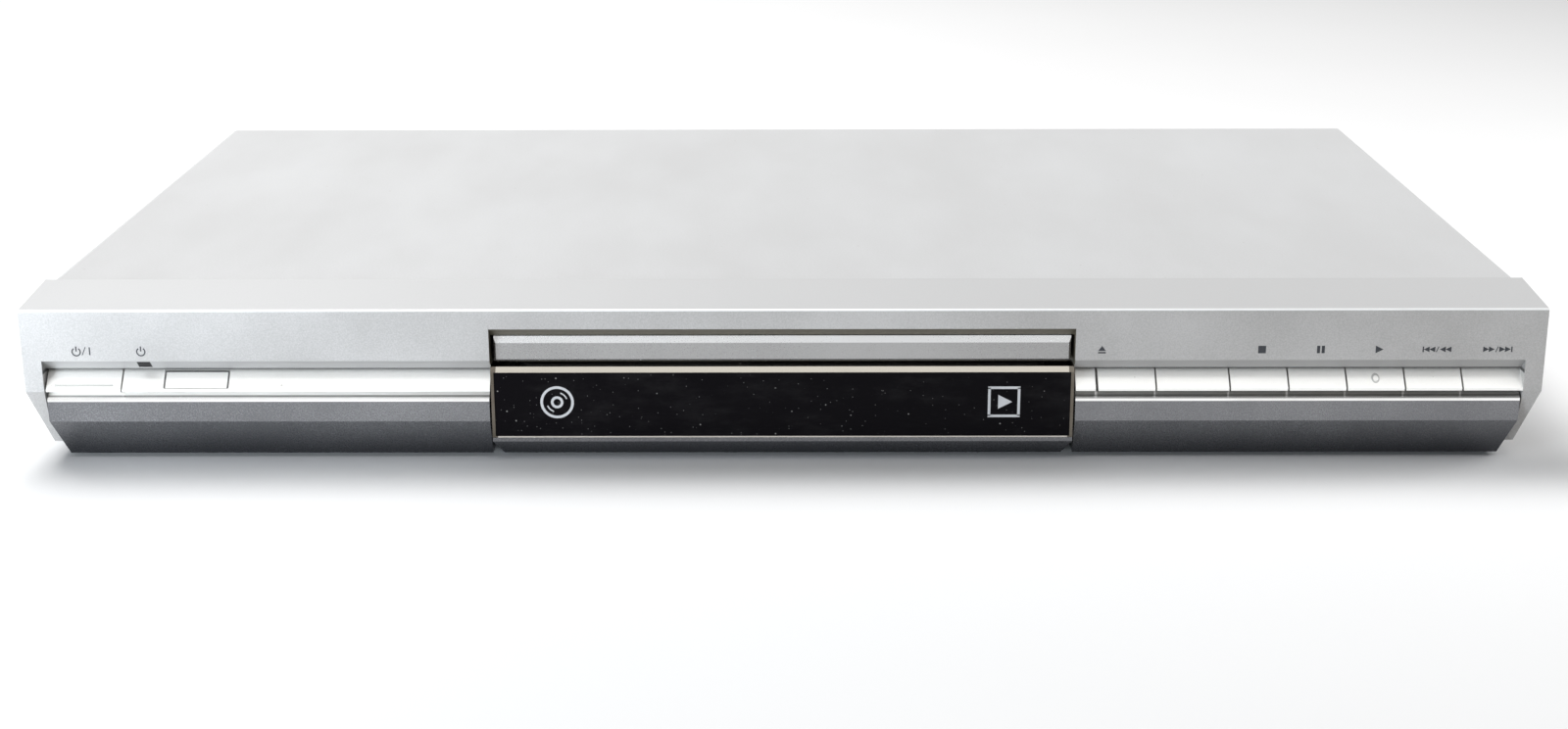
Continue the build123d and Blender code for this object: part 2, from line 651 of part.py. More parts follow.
SOCKET_PLACES = [
    (SOCKET_X + (column - (SOCKET_COUNT - 1) / 2) * SOCKET_PITCH, SOCKET_LOW + row * SOCKET_ROW)
    for column in range(SOCKET_COUNT)
    for row in range(2)
]

with BuildPart() as rear_panel:
    with BuildSketch(facing(PANEL_BACK + SHEET)):
        Polygon(*corners(-PAN_HALF, PAN_HALF, PAN_HEIGHT, PANEL_TOP), align=None)
    extrude(amount=SHEET)
    # folded flanges along the bottom and the top stiffen the panel
    for height in (PAN_TOP, PANEL_TOP - SHEET):
        with BuildSketch(Plane((0, back(PANEL_BACK - REAR_LIP / 2), height))):
            Rectangle(2 * (PAN_HALF - COVER_BEND - PAN_SHEET), REAR_LIP)
        extrude(amount=SHEET)
    with BuildSketch(facing(PANEL_BACK + SHEET)):
        with Locations(*SOCKET_PLACES):
            Circle(SOCKET_RADIUS + FIT)
        with Locations((INLET_X, INLET_Z)):
            Rectangle(INLET_WIDTH + 2 * FIT, INLET_HEIGHT + 2 * FIT)
        with Locations((REAR_VENT_X, (PAN_TOP + COVER_TOP) / 2)):
            with GridLocations(VENT_PITCH, 0, REAR_VENT_COUNT, 1):
                SlotOverall(REAR_VENT_LENGTH, VENT_WIDTH, rotation=90)
        with Locations(*[(x, REAR_SCREW_Z) for x in REAR_SCREWS]):
            Circle(SCREW_HOLE)
    extrude(amount=SHEET, mode=Mode.SUBTRACT)
    # the end that holds the mains inlet is a plate of its own
    with BuildSketch(across(PLATE_SEAM)):
        Polygon(*corners(back(PANEL_BACK - REAR_LIP - OVER), back(CASE_DEPTH),
                         PAN_HEIGHT - OVER, PANEL_TOP + OVER), align=None)
    extrude(amount=FIT, mode=Mode.SUBTRACT)
keep(rear_panel, "rear_panel")

with BuildPart() as cover_screws:
    # three screws in the rear lip and two in each side
    with BuildSketch(facing(CASE_DEPTH + HEAD_HEIGHT)):
        with Locations(*[(x, REAR_SCREW_Z) for x in REAR_SCREWS]):
            Circle(SCREW_HEAD)
    extrude(amount=HEAD_HEIGHT)
    with BuildSketch(facing(CASE_DEPTH)):
        with Locations(*[(x, REAR_SCREW_Z) for x in REAR_SCREWS]):
            Circle(SCREW_RADIUS)
    extrude(amount=SCREW_LENGTH)
    for side in (-1, 1):
        with BuildSketch(across(side * COVER_HALF)):
            with Locations(*section(*[(y, SIDE_SCREW_Z) for y in SIDE_SCREWS])):
                Circle(SCREW_HEAD)
        extrude(amount=side * HEAD_HEIGHT)
        with BuildSketch(across(side * COVER_HALF)):
            with Locations(*section(*[(y, SIDE_SCREW_Z) for y in SIDE_SCREWS])):
                Circle(SCREW_RADIUS)
        extrude(amount=-side * SCREW_LENGTH)
keep(cover_screws, "cover_screws")

# ======================================================================================
# Front moulding
# ======================================================================================
OUTER_SECTION = section(
    (SEAM_BACK, CASE_HEIGHT), (0, CASE_HEIGHT - TOP_FALL), (0, CHEEK_TOP),
    (CHEEK_BACK, FASCIA_BOTTOM), (SEAM_BACK, FASCIA_BOTTOM),
)
INNER_SECTION = section(
    (SEAM_BACK + OVER, CASE_HEIGHT - WALL), (SEAM_BACK, CASE_HEIGHT - WALL),
    (WALL, CASE_HEIGHT - TOP_FALL - WALL), (WALL, CHEEK_TOP),
    (CHEEK_BACK + WALL, FASCIA_BOTTOM + WALL), (SEAM_BACK + OVER, FASCIA_BOTTOM + WALL),
)


def end_wedge(side, half):
    """What is cut from one end of the front, where it turns in towards the floor."""
    inset = CHEEK_IN * CHEEK_TOP / (CHEEK_TOP - FASCIA_BOTTOM)
    with BuildSketch(facing(2 * SEAM_BACK)) as wedge:
        Polygon((side * half, CHEEK_TOP), (side * (half - inset), 0), (side * (half + inset), 0),
                (side * (half + inset), CHEEK_TOP), align=None)
    return extrude(wedge.sketch, amount=3 * SEAM_BACK, mode=Mode.PRIVATE)


def pocket_outline(inset, top):
    """Front outline of the opening that the strips, ledges and chins fill."""
    half = STRIP_HALF - inset
    slope = POCKET_IN / (POCKET_SIDE - CHIN_BOTTOM)
    foot = half - slope * (POCKET_SIDE + OVER)
    return [(-half, top), (-half, POCKET_SIDE), (-foot, -OVER),
            (foot, -OVER), (half, POCKET_SIDE), (half, top)]


def lip_section(lift, depth):
    """Section of that opening: a lip that slants back and down, then a level shelf."""
    slope = (LIP_TOP - LIP_BOTTOM) / LIP_BACK
    return section((-OVER, LIP_TOP + lift + OVER * slope), (LIP_BACK, LIP_BOTTOM + lift),
                   (depth, LIP_BOTTOM + lift), (depth, -OVER), (-OVER, -OVER))


with BuildPart() as strip_pocket:
    with BuildSketch(across(-STRIP_HALF)):
        Polygon(*lip_section(0, APRON_BACK), align=None)
    extrude(amount=2 * STRIP_HALF)
    with BuildSketch(facing(SEAM_BACK)):
        Polygon(*pocket_outline(0, CASE_HEIGHT), align=None)
    extrude(amount=2 * SEAM_BACK, mode=Mode.INTERSECT)

with BuildPart() as pocket_liner:
    with BuildSketch(across(-STRIP_HALF - LINER)):
        Polygon(*lip_section(LINER, APRON_BACK + WALL), align=None)
    extrude(amount=2 * (STRIP_HALF + LINER))
    with BuildSketch(facing(SEAM_BACK)):
        Polygon(*pocket_outline(-LINER, CASE_HEIGHT), align=None)
    extrude(amount=2 * SEAM_BACK, mode=Mode.INTERSECT)
    # walls round the tray's opening
    with BuildSketch(facing(TUNNEL_BACK)):
        Polygon(
            *corners(-BLOCK_HALF - LINER, BLOCK_HALF + LINER, RECESS_FLOOR - LINER, RECESS_CEILING + LINER),
            align=None,
        )
    extrude(amount=TUNNEL_BACK)

with BuildPart() as fascia_hollow:
    with BuildSketch(across(WALL - FASCIA_HALF)):
        Polygon(*INNER_SECTION, align=None)
    extrude(amount=2 * (FASCIA_HALF - WALL))
    for side in (-1, 1):
        add(end_wedge(side, FASCIA_HALF - WALL), mode=Mode.SUBTRACT)
    add(pocket_liner.part, mode=Mode.SUBTRACT)
    # upright ribs stiffen the top and the front
    for rib_x in RIB_XS:
        with BuildSketch(across(rib_x - RIB_THICK / 2)):
            Polygon(*section((0, CASE_HEIGHT), (RIB_REACH, CASE_HEIGHT), (0, LIP_TOP)), align=None)
        extrude(amount=RIB_THICK, mode=Mode.SUBTRACT)

with BuildPart() as fascia:
    with BuildSketch(across(-FASCIA_HALF)) as fascia_outline:
        Polygon(*OUTER_SECTION, align=None)
        fillet(fascia_outline.vertices().sort_by(Axis.Y).sort_by(Axis.X)[1], FACE_ROUND)
    extrude(amount=FASCIA_WIDTH)
    for side in (-1, 1):
        add(end_wedge(side, FASCIA_HALF), mode=Mode.SUBTRACT)
    add(fascia_hollow.part, mode=Mode.SUBTRACT)
    add(strip_pocket.part, mode=Mode.SUBTRACT)
    # the tray's opening, with its chamfered upper edge
    with BuildSketch(across(-BLOCK_HALF)):
        slope = (RECESS_TOP - RECESS_CEILING) / RECESS_SLOPE
        Polygon(
            *section((-OVER, RECESS_TOP + OVER * slope), (RECESS_SLOPE, RECESS_CEILING),
                     (SEAM_BACK, RECESS_CEILING), (SEAM_BACK, RECESS_FLOOR), (APRON_BACK, RECESS_FLOOR),
                     (APRON_BACK, -OVER), (-OVER, -OVER)),
            align=None,
        )
    extrude(amount=2 * BLOCK_HALF, mode=Mode.SUBTRACT)
    # the lower rear edge stops short of the base pan
    with BuildSketch(across(-PAN_HALF - FIT)):
        flange_top = PAN_TOP + PAN_FLANGE + FIT
        Polygon(*section((FASCIA_REAR, 0), (SEAM_BACK + OVER, 0), (SEAM_BACK + OVER, flange_top),
                         (FASCIA_REAR, flange_top)), align=None)
    extrude(amount=2 * (PAN_HALF + FIT), mode=Mode.SUBTRACT)
    # view of the display tube, and holes for the keys' stems
    with BuildSketch(facing(SEAM_BACK)):
        Polygon(
            *corners(-TUBE_HALF - TUBE_MARGIN, TUBE_HALF + TUBE_MARGIN, TUBE_LOW - TUBE_MARGIN,
                     TUBE_HIGH + TUBE_MARGIN),
            align=None,
        )
        with Locations(*[(x, STEM_HEIGHT) for x in KEY_MIDDLES]):
            Circle(STEM_RADIUS + FIT)
    extrude(amount=SEAM_BACK, mode=Mode.SUBTRACT)


def lip_point(share, sink):
    """A point on the chamfered lip, this share of the way down it, sunk behind its surface."""
    run = LIP_BACK
    fall = LIP_TOP - LIP_BOTTOM
    length = (run * run + fall * fall) ** 0.5
    return (share * run + sink * fall / length, LIP_TOP - share * fall + sink * run / length)


with BuildPart() as standby_lens:
    with BuildSketch(across(-LENS_X - LENS_WIDTH / 2)):
        upper, lower = LENS_SHARES
        Polygon(*section(lip_point(upper, 0), lip_point(lower, 0), lip_point(lower, LENS_DEEP),
                         lip_point(upper, LENS_DEEP)), align=None)
    extrude(amount=LENS_WIDTH)
keep(standby_lens, "standby_lens")

with fascia:
    add(standby_lens.part, mode=Mode.SUBTRACT)
keep(fascia, "fascia")

# ======================================================================================
# Key strip
# ======================================================================================
SLANT = Plane(
    origin=(0, back(0), STRIP_BOTTOM + STRIP_LIP),
    x_dir=(1, 0, 0),
    z_dir=(0, -SLANT_RISE, STRIP_TOP_BACK),
)
SLANT_LENGTH = (SLANT_RISE ** 2 + STRIP_TOP_BACK ** 2) ** 0.5


def strip_section(depth):
    """Section of the key strip: an upright lower edge, then a face that slants up and back."""
    return section((0, STRIP_BOTTOM), (0, STRIP_BOTTOM + STRIP_LIP), (STRIP_TOP_BACK, STRIP_TOP),
                   (depth, STRIP_TOP), (depth, STRIP_BOTTOM))


def make_key(left, right):
    """A hollow key with a stem that reaches through the wall behind it."""
    middle = (left + right) / 2
    with BuildPart() as key:
        with BuildSketch(across(left)):
            Polygon(*strip_section(KEY_DEPTH), align=None)
        extrude(amount=right - left)
        low = STRIP_BOTTOM + KEY_WALL
        high = STRIP_TOP - KEY_WALL
        with BuildSketch(across(left + KEY_WALL)):
            Polygon(*section((STRIP_TOP_BACK + KEY_WALL / 2, high), (KEY_DEPTH, high), (KEY_DEPTH, low),
                             (KEY_WALL * 1.5, low)), align=None)
        extrude(amount=right - left - 2 * KEY_WALL, mode=Mode.SUBTRACT)
        with BuildSketch(facing(STEM_END)):
            with Locations((middle, STEM_HEIGHT)):
                Circle(STEM_RADIUS)
        extrude(amount=STEM_END - STRIP_TOP_BACK)
    return key


for key_name, left, right in zip(KEY_NAMES, KEY_EDGES, KEY_EDGES[1:]):
    with BuildPart() as key:
        add(make_key(left + KEY_GAP / 2, right - KEY_GAP / 2).part)
        if key_name == "play":
            with BuildSketch(SLANT):
                with Locations(((left + right) / 2, SLANT_LENGTH / 2)):
                    Circle(DOT_RADIUS)
            extrude(amount=DOT_HEIGHT)
    keep(key, f"{key_name}_button")

with BuildPart() as power_key:
    add(make_key(-STRIP_HALF + KEY_GAP, -POWER_EDGE - KEY_GAP / 2).part)
    with BuildSketch(SLANT):
        with Locations((-(STRIP_HALF + POWER_EDGE) / 2, SLANT_LENGTH * GROOVE_SHARE)):
            Rectangle(STRIP_HALF - POWER_EDGE - 3 * KEY_WALL, GROOVE_WIDTH)
    extrude(amount=-GROOVE_DEEP, mode=Mode.SUBTRACT)
keep(power_key, "power_button")

with BuildPart() as blank_insert:
    with BuildSketch(SLANT):
        with Locations((-BLANK_X, SLANT_LENGTH / 2)):
            RectangleRounded(BLANK_WIDTH, BLANK_LENGTH, GROOVE_WIDTH)
    extrude(amount=-BLANK_DEEP)
keep(blank_insert, "blank_insert")

with BuildPart() as strip_left:
    with BuildSketch(across(-POWER_EDGE + KEY_GAP / 2)):
        Polygon(*strip_section(APRON_BACK), align=None)
    extrude(amount=POWER_EDGE - BLOCK_HALF - KEY_GAP)
    with BuildSketch(SLANT):
        with Locations((-BLANK_X, SLANT_LENGTH / 2)):
            RectangleRounded(BLANK_WIDTH + 2 * BLANK_PLAY, BLANK_LENGTH + 2 * BLANK_PLAY, GROOVE_WIDTH)
    extrude(amount=-BLANK_DEEP, mode=Mode.SUBTRACT)
keep(strip_left, "strip_left")

with BuildPart() as strip_stub:
    with BuildSketch(across(BLOCK_HALF + KEY_GAP)):
        Polygon(*strip_section(APRON_BACK), align=None)
    extrude(amount=KEY_EDGES[0] - BLOCK_HALF - 2 * KEY_GAP)
keep(strip_stub, "strip_stub")

# ======================================================================================
# Ledges and chins
# ======================================================================================
CHIN_SECTION = section(
    (0, LEDGE_BOTTOM), (0, CHIN_FOLD), (CHIN_BACK, CHIN_BOTTOM), (CHIN_DEPTH, CHIN_BOTTOM),
    (CHIN_DEPTH + CHIN_RISE, FASCIA_BOTTOM), (APRON_BACK, FASCIA_BOTTOM), (APRON_BACK, LEDGE_BOTTOM),
)
CHIN_HOLLOW = section(
    (CHIN_WALL, LEDGE_BOTTOM - CHIN_WALL), (CHIN_WALL, CHIN_FOLD),
    (CHIN_BACK + CHIN_WALL, CHIN_BOTTOM + CHIN_WALL), (CHIN_DEPTH - CHIN_WALL, CHIN_BOTTOM + CHIN_WALL),
    (CHIN_DEPTH - CHIN_WALL, FASCIA_BOTTOM), (APRON_BACK, FASCIA_BOTTOM),
    (APRON_BACK, LEDGE_BOTTOM - CHIN_WALL),
)
LEDGE_SECTION = section(
    (0, LEDGE_BOTTOM), (0, LEDGE_BOTTOM + LEDGE_LIP), (LEDGE_SLOPE, LEDGE_TOP), (APRON_BACK, LEDGE_TOP),
    (APRON_BACK, LEDGE_BOTTOM),
)


def end_trim(side):
    """Front outline that one bar is trimmed to: one side of the pocket, less a small gap."""
    points = [(side * x, z) for x, z in pocket_outline(CHIN_GAP, CASE_HEIGHT) if x > 0]
    return [(0, points[0][1]), *points, (0, points[-1][1])]


def make_bar(side, profile, hollow):
    """A bar along one side of the front, with its outer end trimmed like the pocket."""
    inner = BLOCK_HALF + KEY_GAP
    length = STRIP_HALF - inner
    start = inner if side > 0 else -STRIP_HALF
    with BuildPart() as bar:
        with BuildSketch(across(start)):
            Polygon(*profile, align=None)
        extrude(amount=length)
        if hollow:
            bay = length / (CHIN_RIBS + 1)
            for index in range(CHIN_RIBS + 1):
                ends = 4 * CHIN_WALL if index == (CHIN_RIBS if side > 0 else 0) else CHIN_WALL
                from_x = start + index * bay + (ends if side < 0 else CHIN_WALL)
                with BuildSketch(across(from_x)):
                    Polygon(*hollow, align=None)
                extrude(amount=bay - CHIN_WALL - ends, mode=Mode.SUBTRACT)
        with BuildSketch(facing(SEAM_BACK)):
            Polygon(*end_trim(side), align=None)
        extrude(amount=2 * SEAM_BACK, mode=Mode.INTERSECT)
    return bar


for side, side_name in ((-1, "left"), (1, "right")):
    keep(make_bar(side, CHIN_SECTION, CHIN_HOLLOW), f"chin_{side_name}")
    keep(make_bar(side, LEDGE_SECTION, None), f"ledge_trim_{side_name}")

# ======================================================================================
# Middle block: window frame, window and chin
# ======================================================================================
with BuildPart() as window_frame:
    with BuildSketch(across(-BLOCK_EDGE)):
        Polygon(*section((0, BLOCK_BOTTOM), (0, BLOCK_TOP - FRAME_TOP), (FRAME_BEVEL, BLOCK_TOP),
                         (BLOCK_DEPTH, BLOCK_TOP), (BLOCK_DEPTH, BLOCK_BOTTOM)), align=None)
    extrude(amount=2 * BLOCK_EDGE)
    with BuildSketch(facing(BLOCK_DEPTH)):
        Polygon(
            *corners(FRAME_SIDE - BLOCK_EDGE, BLOCK_EDGE - FRAME_SIDE, WINDOW_LOW, WINDOW_HIGH), align=None,
        )
    extrude(amount=BLOCK_DEPTH, mode=Mode.SUBTRACT)
keep(window_frame, "window_frame")

with BuildPart() as display_window:
    with BuildSketch(facing(WINDOW_BACK + WINDOW_THICK)):
        Polygon(*corners(-WINDOW_HALF, WINDOW_HALF, WINDOW_LOW, WINDOW_HIGH), align=None)
    extrude(amount=WINDOW_THICK)
    # two lugs behind reach the wall that carries the block
    with BuildSketch(facing(APRON_BACK)):
        lug_height = (WINDOW_LOW + WINDOW_HIGH) / 2
        with Locations((LUG_INSET - WINDOW_HALF, lug_height), (WINDOW_HALF - LUG_INSET, lug_height)):
            Rectangle(LUG_WIDTH, LUG_HEIGHT)
    extrude(amount=APRON_BACK - WINDOW_BACK - WINDOW_THICK)
keep(display_window, "display_window")

with BuildPart() as centre_chin:
    with BuildSketch(across(-BLOCK_EDGE)):
        Polygon(*section((CENTRE_CHIN_LEAN, BLOCK_BOTTOM), (0, BLOCK_BOTTOM - CENTRE_CHIN_LIP),
                         (CHIN_BACK, CHIN_BOTTOM),
                         (CHIN_DEPTH, CHIN_BOTTOM), (CHIN_DEPTH + CHIN_RISE, FASCIA_BOTTOM),
                         (APRON_BACK, FASCIA_BOTTOM), (APRON_BACK, BLOCK_BOTTOM)), align=None)
    extrude(amount=2 * BLOCK_EDGE)
    with BuildSketch(facing(SEAM_BACK)):
        Polygon(
            (-BLOCK_EDGE, BLOCK_BOTTOM), (-BLOCK_EDGE, BLOCK_BOTTOM - CENTRE_CHIN_LIP),
            (CENTRE_CHIN_IN - BLOCK_EDGE, CHIN_BOTTOM), (BLOCK_EDGE - CENTRE_CHIN_IN, CHIN_BOTTOM),
            (BLOCK_EDGE, BLOCK_BOTTOM - CENTRE_CHIN_LIP), (BLOCK_EDGE, BLOCK_BOTTOM), align=None,
        )
    extrude(amount=SEAM_BACK, mode=Mode.INTERSECT)
keep(centre_chin, "centre_chin")

# ======================================================================================
# Boards
# ======================================================================================
KEY_BOARD_SPANS = ((KEY_BOARD_END - STRIP_HALF, -BLOCK_HALF - KEY_BOARD_END),
                   (BLOCK_HALF + KEY_BOARD_END, STRIP_HALF - KEY_BOARD_END))
TUBE_BOARD_HALF = TUBE_HALF + TUBE_BOARD_SIDE

with BuildPart() as key_boards:
    # one board behind the keys at each side, and one behind the display tube
    with BuildSketch(facing(KEY_BOARD_BACK + BOARD)):
        for left, right in KEY_BOARD_SPANS:
            Polygon(*corners(left, right, KEY_BOARD_LOW, KEY_BOARD_HIGH), align=None)
        Polygon(*corners(-TUBE_BOARD_HALF, TUBE_BOARD_HALF, TUBE_LOW - TUBE_BOARD_FOOT,
                         RECESS_FLOOR - LINER - OVER), align=None)
    extrude(amount=BOARD)
    # each switch: a square body and a round actuator that faces a key's stem
    with BuildSketch(facing(KEY_BOARD_BACK)):
        with Locations(*[(x, STEM_HEIGHT) for x in KEY_MIDDLES]):
            Rectangle(SWITCH_SIZE, SWITCH_SIZE)
    extrude(amount=SWITCH_TALL)
    with BuildSketch(facing(KEY_BOARD_BACK - SWITCH_TALL)):
        with Locations(*[(x, STEM_HEIGHT) for x in KEY_MIDDLES]):
            Circle(ACTUATOR_RADIUS)
    extrude(amount=ACTUATOR_TALL)
    # spacers hold the boards off the wall in front
    spacer_z = KEY_BOARD_LOW + SPACER / 2
    with BuildSketch(facing(KEY_BOARD_BACK)):
        with Locations(*[(side * (BLOCK_HALF + SPACER_IN[0]), spacer_z) for side in (-1, 1)],
                       *[(side * (STRIP_HALF - SPACER_IN[1]), spacer_z) for side in (-1, 1)],
                       *[(side * (TUBE_BOARD_HALF - SPACER), spacer_z) for side in (-1, 1)]):
            Rectangle(SPACER, SPACER)
    extrude(amount=KEY_BOARD_BACK - APRON_BACK - WALL)
keep(key_boards, "key_boards")

with BuildPart() as display_tube:
    with BuildSketch(facing(KEY_BOARD_BACK)):
        Polygon(*corners(-TUBE_HALF, TUBE_HALF, TUBE_LOW, TUBE_HIGH), align=None)
    extrude(amount=TUBE_THICK)
keep(display_tube, "display_tube")


def flat_board(place, holes):
    """A circuit board lying on its bosses, from its front end to just short of the rear panel."""
    left, right, front = place
    rear = PANEL_BACK - BOARD_REAR_GAP
    with BuildPart() as board:
        with BuildSketch(Plane(((left + right) / 2, back((front + rear) / 2), BOARD_HEIGHT))):
            Rectangle(right - left, rear - front)
        extrude(amount=BOARD)
        with BuildSketch(level(BOARD_HEIGHT)):
            with Locations(*holes):
                Circle(SCREW_HOLE)
        extrude(amount=BOARD, mode=Mode.SUBTRACT)
    return board


keep(flat_board(POWER_BOARD, POWER_HOLES), "power_board")
keep(flat_board(MAIN_BOARD, MAIN_HOLES), "main_board")

with BuildPart() as inner_screws:
    for places, seat in (((*POWER_HOLES, *MAIN_HOLES), BOARD_TOP), (EAR_HOLES, FRAME_BOTTOM + FRAME_FLOOR)):
        with BuildSketch(level(seat)):
            with Locations(*places):
                Circle(SCREW_HEAD)
        extrude(amount=HEAD_HEIGHT)
        with BuildSketch(level(seat)):
            with Locations(*places):
                Circle(SCREW_RADIUS)
        extrude(amount=PAN_HEIGHT - seat)
keep(inner_screws, "inner_screws")



def on_power_board(inwards, distance):
    """A place on the power board: in from its outer end, and behind the front face."""
    return (POWER_BOARD[0] + inwards, back(distance))


def on_main_board(inwards, distance):
    """A place on the main board: in from its outer end, and behind the front face."""
    return (MAIN_BOARD[1] - inwards, back(distance))


with BuildPart() as transformer:
    # a coil between two blocks
    for wide, deep, above, tall in TRANSFORMER_BLOCKS:
        with BuildSketch(level(BOARD_TOP + above)):
            with Locations(on_power_board(*TRANSFORMER)):
                Rectangle(wide, deep)
        extrude(amount=tall)
keep(transformer, "transformer")

with BuildPart() as capacitors:
    for inwards, distance, radius, tall in CAPACITORS:
        with BuildSketch(level(BOARD_TOP)):
            with Locations(on_power_board(inwards, distance)):
                Circle(radius)
        extrude(amount=tall)
    tops = capacitors.edges().filter_by(GeomType.CIRCLE).sort_by(Axis.Z)[-len(CAPACITORS):]
    chamfer(tops, CAN_ROUND)
keep(capacitors, "capacitors")

with BuildPart() as heat_sink:
    with BuildSketch(level(BOARD_TOP)):
        with Locations(on_power_board(*SINK_PLACE)):
            Rectangle(SINK_LENGTH, SINK_THICK)
            with Locations((0, FIN_DEPTH / 2)):
                with GridLocations(FIN_PITCH, 0, FIN_COUNT, 1):
                    Rectangle(FIN_THICK, FIN_DEPTH)
    extrude(amount=SINK_TALL)
keep(heat_sink, "heat_sink")

with BuildPart() as main_chips:
    with BuildSketch(level(BOARD_TOP)):
        for inwards, distance, wide, deep in CHIPS:
            with Locations(on_main_board(inwards, distance)):
                Rectangle(wide, deep)
    extrude(amount=CHIP_TALL)
    # a row of small capacitors
    with BuildSketch(level(BOARD_TOP)):
        for step in range(SMALL_CAN_COUNT):
            with Locations(on_main_board(SMALL_CANS[0] + SMALL_CAN_PITCH * step, SMALL_CANS[1])):
                Circle(SMALL_CAN_RADIUS)
    extrude(amount=SMALL_CAN_TALL)
keep(main_chips, "main_chips")

with BuildPart() as ribbon_cable:
    board_face = KEY_BOARD_BACK + BOARD
    plug_back = MAIN_BOARD_FRONT + RIBBON_REACH
    ribbon_left = MAIN_BOARD[1] - RIBBON_IN - RIBBON_WIDTH / 2
    with BuildSketch(across(ribbon_left)):
        with BuildLine():
            FilletPolyline(
                *section((board_face + PLUG_LENGTH, RIBBON_HIGH), (plug_back, RIBBON_HIGH),
                         (plug_back, BOARD_TOP + PLUG_LENGTH)),
                radius=RIBBON_BEND,
            )
        trace(line_width=RIBBON_THICK)
    extrude(amount=RIBBON_WIDTH)
    # a plug at each end
    with BuildSketch(across(ribbon_left - PLUG_SIDE)):
        with Locations(*section((board_face + PLUG_LENGTH / 2, RIBBON_HIGH))):
            Rectangle(PLUG_LENGTH, PLUG_THICK)
        with Locations(*section((plug_back, BOARD_TOP + PLUG_LENGTH / 2))):
            Rectangle(PLUG_THICK, PLUG_LENGTH)
    extrude(amount=RIBBON_WIDTH + 2 * PLUG_SIDE)
keep(ribbon_cable, "ribbon_cable")

with BuildPart() as av_jack_block:
    with BuildSketch(facing(PANEL_BACK)):
        Polygon(*corners(SOCKET_X - JACK_HALF, SOCKET_X + JACK_HALF, BOARD_TOP, JACK_TOP), align=None)
    extrude(amount=JACK_DEPTH)
    # slots between the columns, open to the top
    with BuildSketch(Plane((SOCKET_X, back(PANEL_BACK - JACK_DEPTH), JACK_TOP))):
        with GridLocations(SOCKET_PITCH, 0, SOCKET_COUNT - 1, 1):
            Rectangle(JACK_SLOT, JACK_DEPTH)
    extrude(amount=-SOCKET_ROW, mode=Mode.SUBTRACT)
keep(av_jack_block, "av_jack_block")

with BuildPart() as phono_sockets:
    with BuildSketch(facing(PANEL_BACK + 2 * SHEET + SOCKET_PROUD)):
        with Locations(*SOCKET_PLACES):
            Circle(SOCKET_RADIUS)
    extrude(amount=SOCKET_PROUD + 2 * SHEET)
    # the barrel's bore, with a sleeve round the contact
    with BuildSketch(facing(PANEL_BACK + 2 * SHEET + SOCKET_PROUD)):
        with Locations(*SOCKET_PLACES):
            Circle(SOCKET_BORE)
            Circle(SOCKET_BORE - SLEEVE_WALL, mode=Mode.SUBTRACT)
            Circle(SOCKET_PIN_HOLE)
    extrude(amount=SOCKET_PROUD, mode=Mode.SUBTRACT)
keep(phono_sockets, "phono_sockets")

inlet_face = CASE_DEPTH + INLET_FLANGE
with BuildPart() as mains_inlet:
    with BuildSketch(facing(inlet_face)):
        with Locations((INLET_X, INLET_Z)):
            RectangleRounded(INLET_WIDTH, INLET_HEIGHT, INLET_ROUND)
    extrude(amount=INLET_BODY)
    # a flange outside the rear panel
    with BuildSketch(facing(inlet_face)):
        with Locations((INLET_X, INLET_Z)):
            RectangleRounded(INLET_WIDTH + 2 * INLET_FLANGE_EDGE, INLET_HEIGHT + 2 * INLET_FLANGE_EDGE,
                             INLET_ROUND + INLET_FLANGE_EDGE / 2)
    extrude(amount=INLET_FLANGE + SHEET)
    with BuildSketch(facing(inlet_face)):
        with Locations((INLET_X, INLET_Z)):
            SlotOverall(INLET_MOUTH, INLET_MOUTH_HEIGHT)
    extrude(amount=INLET_DEEP, mode=Mode.SUBTRACT)
    # solder legs down to the power board
    with BuildSketch(level(BOARD_TOP)):
        with Locations((INLET_X, back(inlet_face - INLET_BODY + INLET_LEG / 2))):
            Rectangle(INLET_WIDTH - INLET_LEG, INLET_LEG)
    extrude(amount=INLET_Z - BOARD_TOP - INLET_HEIGHT / 2)
keep(mains_inlet, "mains_inlet")

with BuildPart() as mains_prongs:
    # two prongs that stand on the bottom of the inlet's mouth
    with BuildSketch(facing(inlet_face - PRONG_SHORT)):
        with Locations((INLET_X - PRONG_SPACING / 2, INLET_Z), (INLET_X + PRONG_SPACING / 2, INLET_Z)):
            Circle(PRONG_RADIUS)
    extrude(amount=INLET_DEEP - PRONG_SHORT)
keep(mains_prongs, "mains_prongs")

